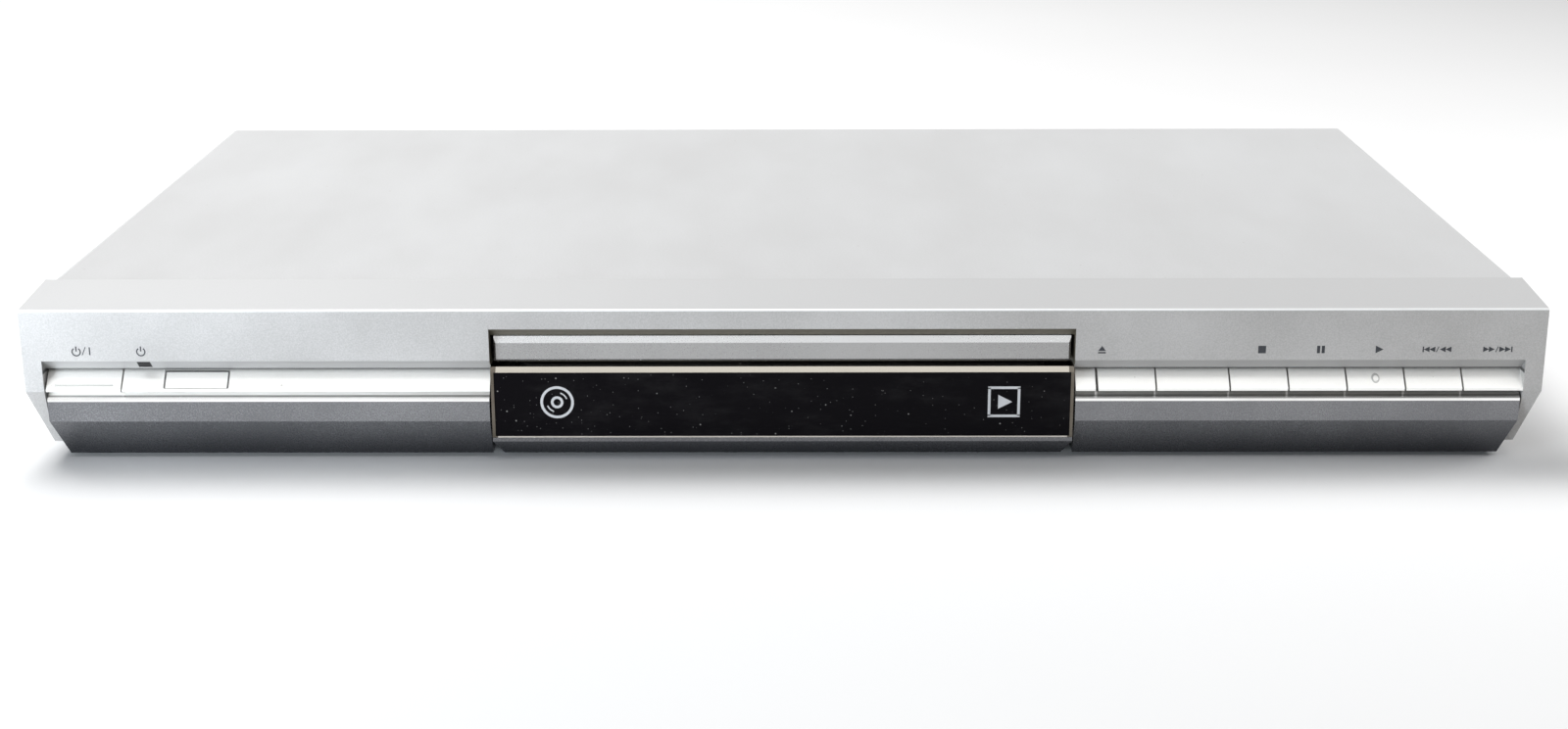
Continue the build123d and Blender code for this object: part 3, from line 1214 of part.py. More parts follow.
# ======================================================================================
# Tray
# ======================================================================================
with BuildPart() as tray_door:
    door_half = BLOCK_HALF - DOOR_SIDE
    with BuildSketch(across(-door_half)):
        Polygon(*section((DOOR_BACK, DOOR_BOTTOM + DOOR_FOOT), (DOOR_BACK, DOOR_TOP - DOOR_BEVEL),
                         (DOOR_BACK + DOOR_LEAN, DOOR_TOP), (DOOR_BACK + DOOR_THICK, DOOR_TOP),
                         (DOOR_BACK + DOOR_THICK, DOOR_BOTTOM), (DOOR_BACK + DOOR_FOOT, DOOR_BOTTOM)),
                align=None)
    extrude(amount=2 * door_half)
    chamfer(tray_door.edges().filter_by(Axis.Z).group_by(Axis.Y)[0], DOOR_FOOT)
    # hollow behind, between end walls and ribs
    bay = 2 * (door_half - WALL) / DOOR_BAYS
    low = DOOR_BOTTOM + DOOR_RIB
    high = DOOR_TOP - WALL
    for index in range(DOOR_BAYS):
        with BuildSketch(across(WALL - door_half + index * bay)):
            Polygon(*section((DOOR_BACK + WALL, low), (DOOR_BACK + DOOR_THICK, low),
                             (DOOR_BACK + DOOR_THICK, high), (DOOR_BACK + WALL, high)), align=None)
        extrude(amount=bay - DOOR_RIB, mode=Mode.SUBTRACT)
keep(tray_door, "tray_door")


def rack_tooth(y):
    """One tooth of the rack, pointing towards the middle, as (X, Y) points."""
    pitch_half = (pi * MODULE / 2 - TOOTH_PLAY) / 2
    lean = ADDENDUM * tan(radians(PRESSURE_ANGLE))
    tip = RACK_LINE - ADDENDUM
    root = RACK_LINE + RACK_DEDENDUM
    return [(root + OVER, y - pitch_half - lean), (root, y - pitch_half - lean), (tip, y - pitch_half + lean),
            (tip, y + pitch_half - lean), (root, y + pitch_half + lean), (root + OVER, y + pitch_half + lean)]


with BuildPart() as disc_tray:
    with BuildSketch(Plane((0, back(TRAY_MIDDLE), TRAY_BOTTOM))) as tray_outline:
        Rectangle(2 * TRAY_HALF, TRAY_LENGTH)
        fillet(tray_outline.vertices(), TRAY_CORNER)
    extrude(amount=TRAY_TOP - TRAY_BOTTOM)
    # wells for a full-size and a small disc
    with BuildSketch(Plane((0, back(SPINDLE_BACK), WELL_FLOOR))):
        Circle(WELL_RADIUS)
    extrude(amount=WELL_DEEP, mode=Mode.SUBTRACT)
    with BuildSketch(Plane((0, back(SPINDLE_BACK), SMALL_WELL_FLOOR))):
        Circle(SMALL_WELL_RADIUS)
    extrude(amount=SMALL_WELL_DEEP, mode=Mode.SUBTRACT)
    # finger scoops at both sides of the disc
    with BuildSketch(Plane((0, back(SPINDLE_BACK), WELL_FLOOR))):
        with Locations((-WELL_RADIUS, 0), (WELL_RADIUS, 0)):
            Circle(SCOOP_RADIUS)
    extrude(amount=WELL_DEEP, mode=Mode.SUBTRACT)
    # hollow underside, open at the rear, with a rib left of the slot
    with BuildSketch(level(TRAY_BOTTOM)):
        Polygon(*corners(-POCKET_HALF, POCKET_HALF, back(TRAY_BACK + TRAY_FRONT), back(TRAY_REAR + OVER)),
                align=None)
        with Locations((-POCKET_HALF / 2, back(TRAY_MIDDLE))):
            Rectangle(TRAY_RIB, TRAY_LENGTH - 2 * TRAY_RIB_END, mode=Mode.SUBTRACT)
    extrude(amount=POCKET_CEILING - TRAY_BOTTOM, mode=Mode.SUBTRACT)
    # middle hole and the pickup's slot
    with BuildSketch(Plane((0, back(SPINDLE_BACK), TRAY_BOTTOM))):
        Circle(HUB_HOLE)
        with Locations((0, SLOT_REACH / 2)):
            Rectangle(2 * SLOT_HALF, SLOT_REACH)
    extrude(amount=TRAY_TOP - TRAY_BOTTOM, mode=Mode.SUBTRACT)
    # rack under the right side; one tooth lies level with the tray gear's shaft
    rack_pitch = pi * MODULE
    first_tooth = -int((GEAR_BACK - TRAY_BACK - TRAY_FRONT - RACK_START) / rack_pitch)
    last_tooth = int((TRAY_REAR - TRAY_CORNER - GEAR_BACK) / rack_pitch)
    with BuildSketch(level(RACK_TOOTH_BOTTOM)):
        Polygon(*corners(RACK_LINE + RACK_DEDENDUM, POCKET_HALF, back(TRAY_BACK + TRAY_FRONT),
                         back(TRAY_REAR - TRAY_CORNER)), align=None)
        for tooth in range(first_tooth, last_tooth + 1):
            Polygon(*rack_tooth(back(GEAR_BACK + tooth * rack_pitch)), align=None)
    extrude(amount=POCKET_CEILING - RACK_TOOTH_BOTTOM)
keep(disc_tray, "disc_tray")

# ======================================================================================
# Loader frame and clamper
# ======================================================================================
MOTOR_SPOT = (MOTOR_PULLEY_X, back(MOTOR_PULLEY_BACK))
GEAR_SPOT = (GEAR_X, back(GEAR_BACK))
PULLEY_SPOT = (PULLEY_X, back(GEAR_BACK))

with BuildPart() as loader_frame:
    frame_middle = back(FRAME_FRONT + FRAME_LENGTH / 2)
    # floor ring with a window for the traverse
    with BuildSketch(Plane((0, frame_middle, FRAME_BOTTOM))):
        Rectangle(2 * FRAME_HALF, FRAME_LENGTH)
    extrude(amount=FRAME_FLOOR)
    with BuildSketch(level(FRAME_BOTTOM)):
        for window_front, window_rear in FRAME_WINDOWS:
            Polygon(*corners(-FRAME_WINDOW, FRAME_WINDOW, back(window_front), back(window_rear)), align=None)
    extrude(amount=FRAME_FLOOR, mode=Mode.SUBTRACT)
    for side in (-1, 1):
        # side wall
        with BuildSketch(Plane((side * (FRAME_HALF - FRAME_WALL / 2), frame_middle, FRAME_BOTTOM))):
            Rectangle(FRAME_WALL, FRAME_LENGTH)
        extrude(amount=FRAME_TOP_Z - FRAME_BOTTOM)
        # ledge under the tray's side rail
        with BuildSketch(Plane((side * (WALL_INNER - RAIL_WIDTH / 2), frame_middle, RAIL_TOP))):
            Rectangle(RAIL_WIDTH, FRAME_LENGTH)
        extrude(amount=-RAIL_THICK)
        # tabs over it
        for tab_back in TAB_BACKS:
            with BuildSketch(Plane((side * (WALL_INNER - TAB_WIDTH / 2), back(tab_back), TAB_BOTTOM))):
                Rectangle(TAB_WIDTH, TAB_LENGTH)
            extrude(amount=TAB_THICK)
        # upright post that holds the traverse's rear bush
        with BuildSketch(Plane((side * (PLATE_HALF + FIT + POST_THICK / 2), back(HINGE_BACK), FRAME_BOTTOM))):
            Rectangle(POST_THICK, 2 * (BUSH_RADIUS + POST_SIDE))
        extrude(amount=POST_TOP - FRAME_BOTTOM)
    # mounting ears, joined to the floor ring
    with BuildSketch(level(FRAME_BOTTOM)):
        with Locations(*EAR_HOLES):
            Rectangle(EAR, EAR)
    extrude(amount=FRAME_FLOOR)
    with BuildSketch(level(FRAME_BOTTOM)):
        with Locations(*EAR_HOLES):
            Circle(SCREW_HOLE)
    extrude(amount=FRAME_FLOOR, mode=Mode.SUBTRACT)
    # front deck for the drive, on a low front wall
    with BuildSketch(level(DECK_TOP - DECK_THICK)):
        Polygon(*corners(-FRAME_HALF, FRAME_HALF, back(FRAME_FRONT), back(DECK_REAR)), align=None)
        with Locations(MOTOR_SPOT):
            Circle(MOTOR_COLLAR, mode=Mode.SUBTRACT)
    extrude(amount=DECK_THICK)
    for wall_back in (FRAME_FRONT + FRAME_WALL / 2, FRAME_REAR - FRAME_WALL / 2):
        with BuildSketch(Plane((0, back(wall_back), FRAME_BOTTOM))):
            Rectangle(2 * FRAME_HALF, FRAME_WALL)
        extrude(amount=DECK_TOP - FRAME_BOTTOM)
    # guide fences that keep the cam plate upright
    fence_x = FRAME_WINDOW + FENCE_OUT
    for fence_back in (CAM_BACK - FIT - FENCE_THICK / 2, CAM_BACK + CAM_THICK + FIT + FENCE_THICK / 2):
        with BuildSketch(level(FRAME_BOTTOM + FRAME_FLOOR)):
            with Locations((-fence_x, back(fence_back)), (fence_x, back(fence_back))):
                Rectangle(FENCE_LENGTH, FENCE_THICK)
        extrude(amount=FENCE_TALL)
    # shafts of the pulley gear and the tray gear
    for spot, shoulder, top in ((PULLEY_SPOT, PULLEY_BOTTOM - FIT, PINION_TOP),
                                (GEAR_SPOT, GEAR_BOTTOM - FIT, GEAR_TOP)):
        for radius, height in ((2 * SHAFT_RADIUS, shoulder), (SHAFT_RADIUS, top)):
            with BuildSketch(level(DECK_TOP)):
                with Locations(spot):
                    Circle(radius)
            extrude(amount=height - DECK_TOP)
    # bores for the traverse's bushes
    with BuildSketch(across(-PLATE_HALF - FIT - POST_THICK)):
        with Locations((back(HINGE_BACK), HINGE_HEIGHT)):
            Circle(BUSH_RADIUS)
    extrude(amount=2 * (PLATE_HALF + FIT + POST_THICK), mode=Mode.SUBTRACT)
keep(loader_frame, "loader_frame")

with BuildPart() as clamper_bridge:
    bridge_y = back(SPINDLE_BACK)
    with BuildSketch(Plane((0, bridge_y, FRAME_TOP_Z))) as bridge_outline:
        Rectangle(2 * FRAME_HALF, 2 * BRIDGE_HALF_DEPTH)
        fillet(bridge_outline.vertices(), TRAY_CORNER)
        Circle(BRIDGE_HOLE, mode=Mode.SUBTRACT)
        with Locations((-BRIDGE_SLOT_X, 0), (BRIDGE_SLOT_X, 0)):
            SlotOverall(BRIDGE_SLOT, BRIDGE_SLOT_WIDTH, mode=Mode.SUBTRACT)
    extrude(amount=BRIDGE_SHEET)
    # folded edges stiffen it
    for edge in (-1, 1):
        with BuildSketch(Plane((0, bridge_y + edge * (BRIDGE_HALF_DEPTH - BRIDGE_SHEET / 2), BRIDGE_TOP))):
            Rectangle(2 * (FRAME_HALF - TRAY_CORNER), BRIDGE_SHEET)
        extrude(amount=BRIDGE_FOLD)
keep(clamper_bridge, "clamper_bridge")

with BuildPart() as clamper:
    flange_bottom = BRIDGE_TOP + RAIL_GAP
    flange_top = flange_bottom + CLAMPER_CAP
    cap_top = flange_top + CLAMPER_STEP
    cone_top = CLAMPER_BOTTOM + CLAMPER_CONE_DEEP
    with BuildSketch(facing(SPINDLE_BACK)):
        Polygon(
            (0, cone_top), (CLAMPER_CONE, cone_top), (CLAMPER_CONE, CLAMPER_BOTTOM),
            (CLAMPER_RING, CLAMPER_BOTTOM), (CLAMPER_NECK, CLAMPER_BOTTOM + CLAMPER_BEVEL), (CLAMPER_NECK, flange_bottom),
            (CLAMPER_FLANGE, flange_bottom), (CLAMPER_FLANGE, flange_top), (CLAMPER_RING, flange_top),
            (CLAMPER_RING - CLAMPER_STEP, cap_top), (0, cap_top), align=None,
        )
    revolve(axis=Axis((0, back(SPINDLE_BACK), 0), (0, 0, 1)))
    # lightening recesses show its turning
    with BuildSketch(Plane((0, back(SPINDLE_BACK), cap_top))):
        with PolarLocations(CLAMPER_HOLE_AT, CLAMPER_HOLES):
            Circle(CLAMPER_HOLE_RADIUS)
    extrude(amount=-CLAMPER_STEP, mode=Mode.SUBTRACT)
keep(clamper, "clamper")

# ======================================================================================
# Tray drive
# ======================================================================================


def gear_points(teeth, phase):
    """Outline of a gear: leaning flanks above the pitch circle, radial ones below it."""
    pitch_radius = MODULE * teeth / 2
    tip_radius = pitch_radius + ADDENDUM
    root_radius = pitch_radius - DEDENDUM
    pitch_half = (pi * MODULE / 2 - TOOTH_PLAY) / 2 / pitch_radius
    tip_half = pitch_half - ADDENDUM * tan(radians(PRESSURE_ANGLE)) / tip_radius
    points = []
    for tooth in range(teeth):
        middle = phase + 2 * pi * tooth / teeth
        for radius, offset in ((root_radius, -pitch_half), (pitch_radius, -pitch_half),
                               (tip_radius, -tip_half), (tip_radius, tip_half),
                               (pitch_radius, pitch_half), (root_radius, pitch_half)):
            points.append((radius * cos(middle + offset), radius * sin(middle + offset)))
    return points


with BuildPart() as tray_gear:
    with BuildSketch(level(GEAR_BOTTOM)):
        with Locations(GEAR_SPOT):
            # a gap between teeth faces the rack, and another the pinion
            Polygon(*gear_points(GEAR_TEETH, pi / GEAR_TEETH), align=None)
            Circle(SHAFT_RADIUS + RUNNING, mode=Mode.SUBTRACT)
    extrude(amount=GEAR_TOP - GEAR_BOTTOM)
    with BuildSketch(level(GEAR_TOP)):
        with Locations(GEAR_SPOT):
            Circle(GEAR_RADIUS - GEAR_RIM)
            Circle(2 * SHAFT_RADIUS, mode=Mode.SUBTRACT)
    extrude(amount=-GEAR_RECESS, mode=Mode.SUBTRACT)
keep(tray_gear, "tray_gear")


def pulley_wheel(spot, radius, groove):
    """A grooved wheel between two flanges, standing on PULLEY_BOTTOM."""
    x, y = spot
    low = PULLEY_BOTTOM + FLANGE
    top = PULLEY_BOTTOM + PULLEY_HEIGHT
    with BuildSketch(Plane.XZ.offset(-y)) as profile:
        Polygon((x, PULLEY_BOTTOM), (x + radius, PULLEY_BOTTOM), (x + radius, low), (x + groove, low),
                (x + groove, top - FLANGE), (x + radius, top - FLANGE), (x + radius, top), (x, top),
                align=None)
    return revolve(profile.sketch, axis=Axis((x, y, 0), (0, 0, 1)), mode=Mode.PRIVATE)


with BuildPart() as pulley_gear:
    add(pulley_wheel(PULLEY_SPOT, PULLEY_RADIUS, PULLEY_GROOVE))
    with BuildSketch(level(PULLEY_BOTTOM + PULLEY_HEIGHT)):
        with Locations(PULLEY_SPOT):
            Polygon(*gear_points(PINION_TEETH, 0), align=None)
    extrude(amount=PINION_TOP - PULLEY_BOTTOM - PULLEY_HEIGHT)
    with BuildSketch(level(PULLEY_BOTTOM)):
        with Locations(PULLEY_SPOT):
            Circle(SHAFT_RADIUS + RUNNING)
    extrude(amount=PINION_TOP - PULLEY_BOTTOM, mode=Mode.SUBTRACT)
    with BuildSketch(level(PULLEY_BOTTOM)):
        with Locations(PULLEY_SPOT):
            with PolarLocations(PULLEY_GROOVE * PULLEY_HOLE_SHARE, PULLEY_HOLES):
                Circle(PULLEY_HOLE_RADIUS)
    extrude(amount=PULLEY_HEIGHT, mode=Mode.SUBTRACT)
keep(pulley_gear, "pulley_gear")

with BuildPart() as motor_pulley:
    add(pulley_wheel(MOTOR_SPOT, MOTOR_PULLEY_RADIUS, MOTOR_PULLEY_GROOVE))
    with BuildSketch(level(PULLEY_BOTTOM)):
        with Locations(MOTOR_SPOT):
            Circle(MOTOR_SHAFT + RUNNING)
    extrude(amount=PULLEY_HEIGHT - PULLEY_SEAT, mode=Mode.SUBTRACT)
keep(motor_pulley, "motor_pulley")


def belt_loop(grow):
    """Outline round both pulley grooves, grown by this much."""
    with BuildSketch() as loop:
        with Locations(PULLEY_SPOT):
            Circle(PULLEY_GROOVE + BELT_PLAY + grow)
        with Locations(MOTOR_SPOT):
            Circle(MOTOR_PULLEY_GROOVE + BELT_PLAY + grow)
        make_hull()
    return loop.sketch


with BuildPart() as drive_belt:
    belt_bottom = PULLEY_BOTTOM + (PULLEY_HEIGHT - BELT_THICK) / 2
    with BuildSketch(level(belt_bottom)):
        add(belt_loop(BELT_THICK))
        add(belt_loop(0), mode=Mode.SUBTRACT)
    extrude(amount=BELT_THICK)
keep(drive_belt, "drive_belt")

with BuildPart() as loading_motor:
    motor_top = DECK_TOP - DECK_THICK
    with BuildSketch(level(PAN_TOP + MOTOR_CLEAR)):
        with Locations(MOTOR_SPOT):
            Circle(MOTOR_RADIUS)
    extrude(amount=motor_top - PAN_TOP - MOTOR_CLEAR)
    chamfer(loading_motor.edges().group_by(Axis.Z)[0], MOTOR_ROUND)
    # a collar in the deck's hole, and the shaft
    shaft_top = PULLEY_BOTTOM + PULLEY_HEIGHT - PULLEY_SEAT - FIT
    for radius, height in ((MOTOR_COLLAR - FIT, DECK_TOP - FIT), (MOTOR_SHAFT, shaft_top)):
        with BuildSketch(level(motor_top)):
            with Locations(MOTOR_SPOT):
                Circle(radius)
        extrude(amount=height - motor_top)
keep(loading_motor, "loading_motor")

# ======================================================================================
# Cam plate that lifts the traverse
# ======================================================================================


def lowered_point(distance, height):
    """Where a point of the raised traverse lies once it has been lowered."""
    angle = radians(LOWER_ANGLE)
    y = distance - HINGE_BACK
    z = height - HINGE_HEIGHT
    return (HINGE_BACK + y * cos(angle) - z * sin(angle), HINGE_HEIGHT + y * sin(angle) + z * cos(angle))


PIN_LOW = lowered_point(CAM_BACK + CAM_THICK / 2, PIN_HEIGHT)[1]
SLOT_WIDTH = 2 * (PIN_RADIUS + CAM_PLAY)
CAM_BOTTOM = FRAME_BOTTOM + FRAME_FLOOR + FIT

with BuildPart() as cam_slider:
    with BuildSketch(facing(CAM_BACK + CAM_THICK)):
        foot_top = CAM_BOTTOM + CAM_FOOT_TALL
        Polygon((-CAM_HALF, CAM_BOTTOM), (CAM_FOOT, CAM_BOTTOM), (CAM_FOOT, foot_top), (CAM_HALF, foot_top),
                (CAM_HALF, CAM_TOP), (-CAM_HALF, CAM_TOP), align=None)
        # slanting slots, at rest the pins lie at their low ends
        for pin_x in (-PIN_X, PIN_X):
            with BuildLine():
                Line((pin_x, PIN_LOW), (pin_x + CAM_TRAVEL, PIN_HEIGHT))
            trace(line_width=SLOT_WIDTH, mode=Mode.SUBTRACT)
            with Locations((pin_x, PIN_LOW), (pin_x + CAM_TRAVEL, PIN_HEIGHT)):
                Circle(SLOT_WIDTH / 2, mode=Mode.SUBTRACT)
    extrude(amount=CAM_THICK)
keep(cam_slider, "cam_slider")

# ======================================================================================
# Traverse
# ======================================================================================
SPINDLE_Y = back(SPINDLE_BACK)
PLATE_BOTTOM = PLATE_TOP - PLATE_THICK
SLED_Y = back(LENS_BACK)

CLIP_BACKS = (ROD_FRONT + CLIP_DEPTH / 2, ROD_REAR - CLIP_DEPTH / 2)

with BuildPart() as traverse_plate:
    with BuildSketch(level(PLATE_BOTTOM)) as plate_outline:
        Polygon(*corners(-PLATE_HALF, PLATE_HALF, back(PLATE_FRONT), back(PLATE_REAR)), align=None)
        fillet(plate_outline.vertices(), TRAY_CORNER)
        # window for the sled, and a hole for the turntable's hub
        Polygon(*corners(-SLED_HALF - WINDOW_LEFT, SCREW_LINE + WINDOW_RIGHT, back(ROD_FRONT + CLIP_DEPTH),
                         back(SLED_REAR + SLED_TRAVEL + SLED_CLEAR)), align=None, mode=Mode.SUBTRACT)
        with Locations((0, SPINDLE_Y)):
            Circle(HUB_RADIUS + HUB_CLEAR, mode=Mode.SUBTRACT)
        # notch over the feed motor
        with Locations((SCREW_LINE, back(ROD_REAR + FEED_MOTOR_LENGTH / 2))):
            Rectangle(2 * (FEED_MOTOR_RADIUS + FIT), FEED_MOTOR_LENGTH + 2 * FIT, mode=Mode.SUBTRACT)
    extrude(amount=PLATE_THICK)
    for side in (-1, 1):
        # side flange turned down
        with BuildSketch(level(PLATE_BOTTOM)):
            with Locations((side * (PLATE_HALF - PLATE_THICK / 2), back((PLATE_FRONT + PLATE_REAR) / 2))):
                Rectangle(PLATE_THICK, PLATE_REAR - PLATE_FRONT - 2 * TRAY_CORNER)
        extrude(amount=-PLATE_FOLD)
        # lug and pivot at the rear
        with BuildSketch(across(side * PLATE_HALF)):
            with Locations((back(HINGE_BACK), HINGE_HEIGHT)):
                Circle(PIVOT_RADIUS)
        extrude(amount=side * (POST_THICK + FIT))
        with BuildSketch(across(side * PLATE_HALF)):
            Polygon(*section((LUG_FRONT, PLATE_BOTTOM), (LUG_FRONT, LUG_LOW), (PLATE_REAR, LUG_LOW),
                             (PLATE_REAR, PLATE_BOTTOM)), align=None)
        extrude(amount=-side * LUG_THICK)
        # front pins in the cam slots, each on a block under the plate
        with BuildSketch(facing(PLATE_FRONT)):
            with Locations((side * PIN_X, PIN_HEIGHT)):
                Circle(PIN_RADIUS)
        extrude(amount=PLATE_FRONT - CAM_BACK)
        with BuildSketch(facing(PLATE_FRONT + PIN_ROOT_DEEP)):
            with Locations((side * PIN_X, PIN_HEIGHT)):
                Rectangle(PIN_ROOT, PIN_ROOT_TALL)
        extrude(amount=PIN_ROOT_DEEP)
    # clips that hold the guide rods and the feed screw
    for x in (-ROD_X, ROD_X, SCREW_LINE):
        for clip_back in CLIP_BACKS:
            with BuildSketch(level(PLATE_BOTTOM)):
                with Locations((x, back(clip_back))):
                    Rectangle(CLIP_WIDTH, CLIP_DEPTH)
            extrude(amount=ROD_HEIGHT - ROD_RADIUS - CLIP_STOCK - PLATE_BOTTOM)
    # bores for the rods and the screw
    for x, bore in ((-ROD_X, ROD_RADIUS), (ROD_X, ROD_RADIUS), (SCREW_LINE, FEED_RADIUS + RUNNING)):
        with BuildSketch(facing(ROD_REAR)):
            with Locations((x, ROD_HEIGHT)):
                Circle(bore)
        extrude(amount=ROD_REAR - ROD_FRONT, mode=Mode.SUBTRACT)
keep_lowered(traverse_plate, "traverse_plate")

with BuildPart() as traverse_bushes:
    for side in (-1, 1):
        with BuildSketch(across(side * (PLATE_HALF + FIT))):
            with Locations((back(HINGE_BACK), HINGE_HEIGHT)):
                Circle(BUSH_RADIUS)
                Circle(PIVOT_RADIUS + RUNNING, mode=Mode.SUBTRACT)
        extrude(amount=side * POST_THICK)
keep(traverse_bushes, "traverse_bushes")

with BuildPart() as spindle_motor:
    with BuildSketch(Plane((0, SPINDLE_Y, PLATE_BOTTOM))):
        Circle(SPINDLE_RADIUS)
    extrude(amount=-SPINDLE_TALL)
    chamfer(spindle_motor.edges().group_by(Axis.Z)[0], SPINDLE_ROUND)
    with BuildSketch(Plane((0, SPINDLE_Y, PLATE_BOTTOM))):
        Circle(SPINDLE_SHAFT)
    extrude(amount=SEAT_HEIGHT - PLATE_BOTTOM)
keep_lowered(spindle_motor, "spindle_motor")

with BuildPart() as turntable:
    hub_bottom = PLATE_BOTTOM + FIT
    table_bottom = SEAT_HEIGHT - TABLE_THICK
    moat = SEAT_HEIGHT - CONE_MOAT_DEEP
    with BuildSketch(facing(SPINDLE_BACK)):
        Polygon(
            (0, hub_bottom), (HUB_RADIUS, hub_bottom), (HUB_RADIUS, table_bottom),
            (TABLE_RADIUS, table_bottom), (TABLE_RADIUS, SEAT_HEIGHT), (CONE_RADIUS + CONE_MOAT, SEAT_HEIGHT),
            (CONE_RADIUS + CONE_MOAT - CONE_MOAT_DEEP, moat), (CONE_RADIUS, moat),
            (CONE_RADIUS, SEAT_HEIGHT + CONE_STRAIGHT), (CONE_TOP, SEAT_HEIGHT + CONE_HEIGHT),
            (0, SEAT_HEIGHT + CONE_HEIGHT), align=None,
        )
    revolve(axis=Axis((0, SPINDLE_Y, 0), (0, 0, 1)))
    with BuildSketch(Plane((0, SPINDLE_Y, hub_bottom))):
        Circle(SPINDLE_SHAFT + RUNNING)
    extrude(amount=SEAT_HEIGHT + RUNNING - hub_bottom, mode=Mode.SUBTRACT)
keep_lowered(turntable, "turntable")

with BuildPart() as guide_rods:
    with BuildSketch(facing(ROD_REAR)):
        with Locations((-ROD_X, ROD_HEIGHT), (ROD_X, ROD_HEIGHT)):
            Circle(ROD_RADIUS)
    extrude(amount=ROD_REAR - ROD_FRONT)
keep_lowered(guide_rods, "guide_rods")

with BuildPart() as feed_screw:
    with BuildSketch(facing(ROD_REAR + SCREW_TAIL)):
        with Locations((SCREW_LINE, ROD_HEIGHT)):
            Circle(FEED_RADIUS)
    extrude(amount=ROD_REAR + SCREW_TAIL - ROD_FRONT)
keep_lowered(feed_screw, "feed_screw")

with BuildPart() as feed_motor:
    with BuildSketch(facing(ROD_REAR + FEED_MOTOR_LENGTH)):
        with Locations((SCREW_LINE, ROD_HEIGHT)):
            Circle(FEED_MOTOR_RADIUS)
    extrude(amount=FEED_MOTOR_LENGTH)
    with BuildSketch(facing(ROD_REAR + SCREW_TAIL + FIT)):
        with Locations((SCREW_LINE, ROD_HEIGHT)):
            Circle(FEED_RADIUS + RUNNING)
    extrude(amount=SCREW_TAIL + FIT, mode=Mode.SUBTRACT)
keep_lowered(feed_motor, "feed_motor")

with BuildPart() as pickup_sled:
    sled_middle = back((SLED_FRONT + SLED_REAR) / 2)
    sled_length = SLED_REAR - SLED_FRONT
    with BuildSketch(level(SLED_BOTTOM)) as sled_outline:
        with Locations((0, sled_middle)):
            RectangleRounded(2 * SLED_HALF, sled_length, SLED_ROUND)
    extrude(amount=SLED_TOP - SLED_BOTTOM)
    # hollow underneath, between the rods' bores
    with BuildSketch(level(SLED_BOTTOM)):
        with Locations((0, sled_middle)):
            Rectangle(2 * (ROD_X - SLED_RAIL), sled_length - 2 * SLED_END)
    extrude(amount=SLED_TOP - SLED_BOTTOM - SLED_ROOF, mode=Mode.SUBTRACT)
    # arm with a half nut over the feed screw
    with BuildSketch(level(SLED_TOP - NUT_DOWN)):
        Polygon(*corners(SLED_HALF - OVER, SCREW_LINE + NUT_OVER, SLED_Y - NUT_DEPTH / 2,
                         SLED_Y + NUT_DEPTH / 2), align=None)
    extrude(amount=NUT_THICK)
    # lens holder
    with BuildSketch(level(SLED_TOP)):
        with Locations((0, SLED_Y)):
            Rectangle(*LENS_HOLDER)
    extrude(amount=LENS_TOP - LENS_STEP - SLED_TOP)
    for x in (-ROD_X, ROD_X):
        with BuildSketch(facing(SLED_REAR)):
            with Locations((x, ROD_HEIGHT)):
                Circle(ROD_RADIUS + RUNNING)
        extrude(amount=sled_length, mode=Mode.SUBTRACT)
keep_lowered(pickup_sled, "pickup_sled")

with BuildPart() as objective_lens:
    # a rim, then a domed lens
    for radius, low, high in ((LENS_RADIUS, LENS_STEP, LENS_RIM), (LENS_RADIUS - LENS_RIM, LENS_RIM, 0)):
        with BuildSketch(level(LENS_TOP - low)):
            with Locations((0, SLED_Y)):
                Circle(radius)
        extrude(amount=low - high)
keep_lowered(objective_lens, "objective_lens")
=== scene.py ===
import json
from math import pi, radians

import bpy
import numpy as np
from mathutils import Matrix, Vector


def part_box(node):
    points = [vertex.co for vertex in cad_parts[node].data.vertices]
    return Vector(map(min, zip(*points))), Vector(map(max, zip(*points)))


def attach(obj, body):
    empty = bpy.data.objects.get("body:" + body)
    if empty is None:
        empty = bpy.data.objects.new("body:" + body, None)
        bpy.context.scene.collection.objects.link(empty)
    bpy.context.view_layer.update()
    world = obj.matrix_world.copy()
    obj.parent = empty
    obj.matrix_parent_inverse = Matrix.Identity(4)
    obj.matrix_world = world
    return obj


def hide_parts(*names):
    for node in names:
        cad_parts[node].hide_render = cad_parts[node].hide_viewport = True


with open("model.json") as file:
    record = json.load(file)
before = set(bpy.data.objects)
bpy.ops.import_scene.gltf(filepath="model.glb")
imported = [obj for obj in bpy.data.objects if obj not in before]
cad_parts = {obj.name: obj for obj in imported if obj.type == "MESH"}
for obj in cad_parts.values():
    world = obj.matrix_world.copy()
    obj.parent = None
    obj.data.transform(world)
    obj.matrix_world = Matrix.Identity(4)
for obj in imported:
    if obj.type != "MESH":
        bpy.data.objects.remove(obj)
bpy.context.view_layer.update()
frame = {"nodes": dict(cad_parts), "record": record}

# A full-width disc player with a loading tray, dressed over its CAD frame.
# Metres, in the frame of the CAD: +X right seen from the front, the front faces -Y, +Z up.

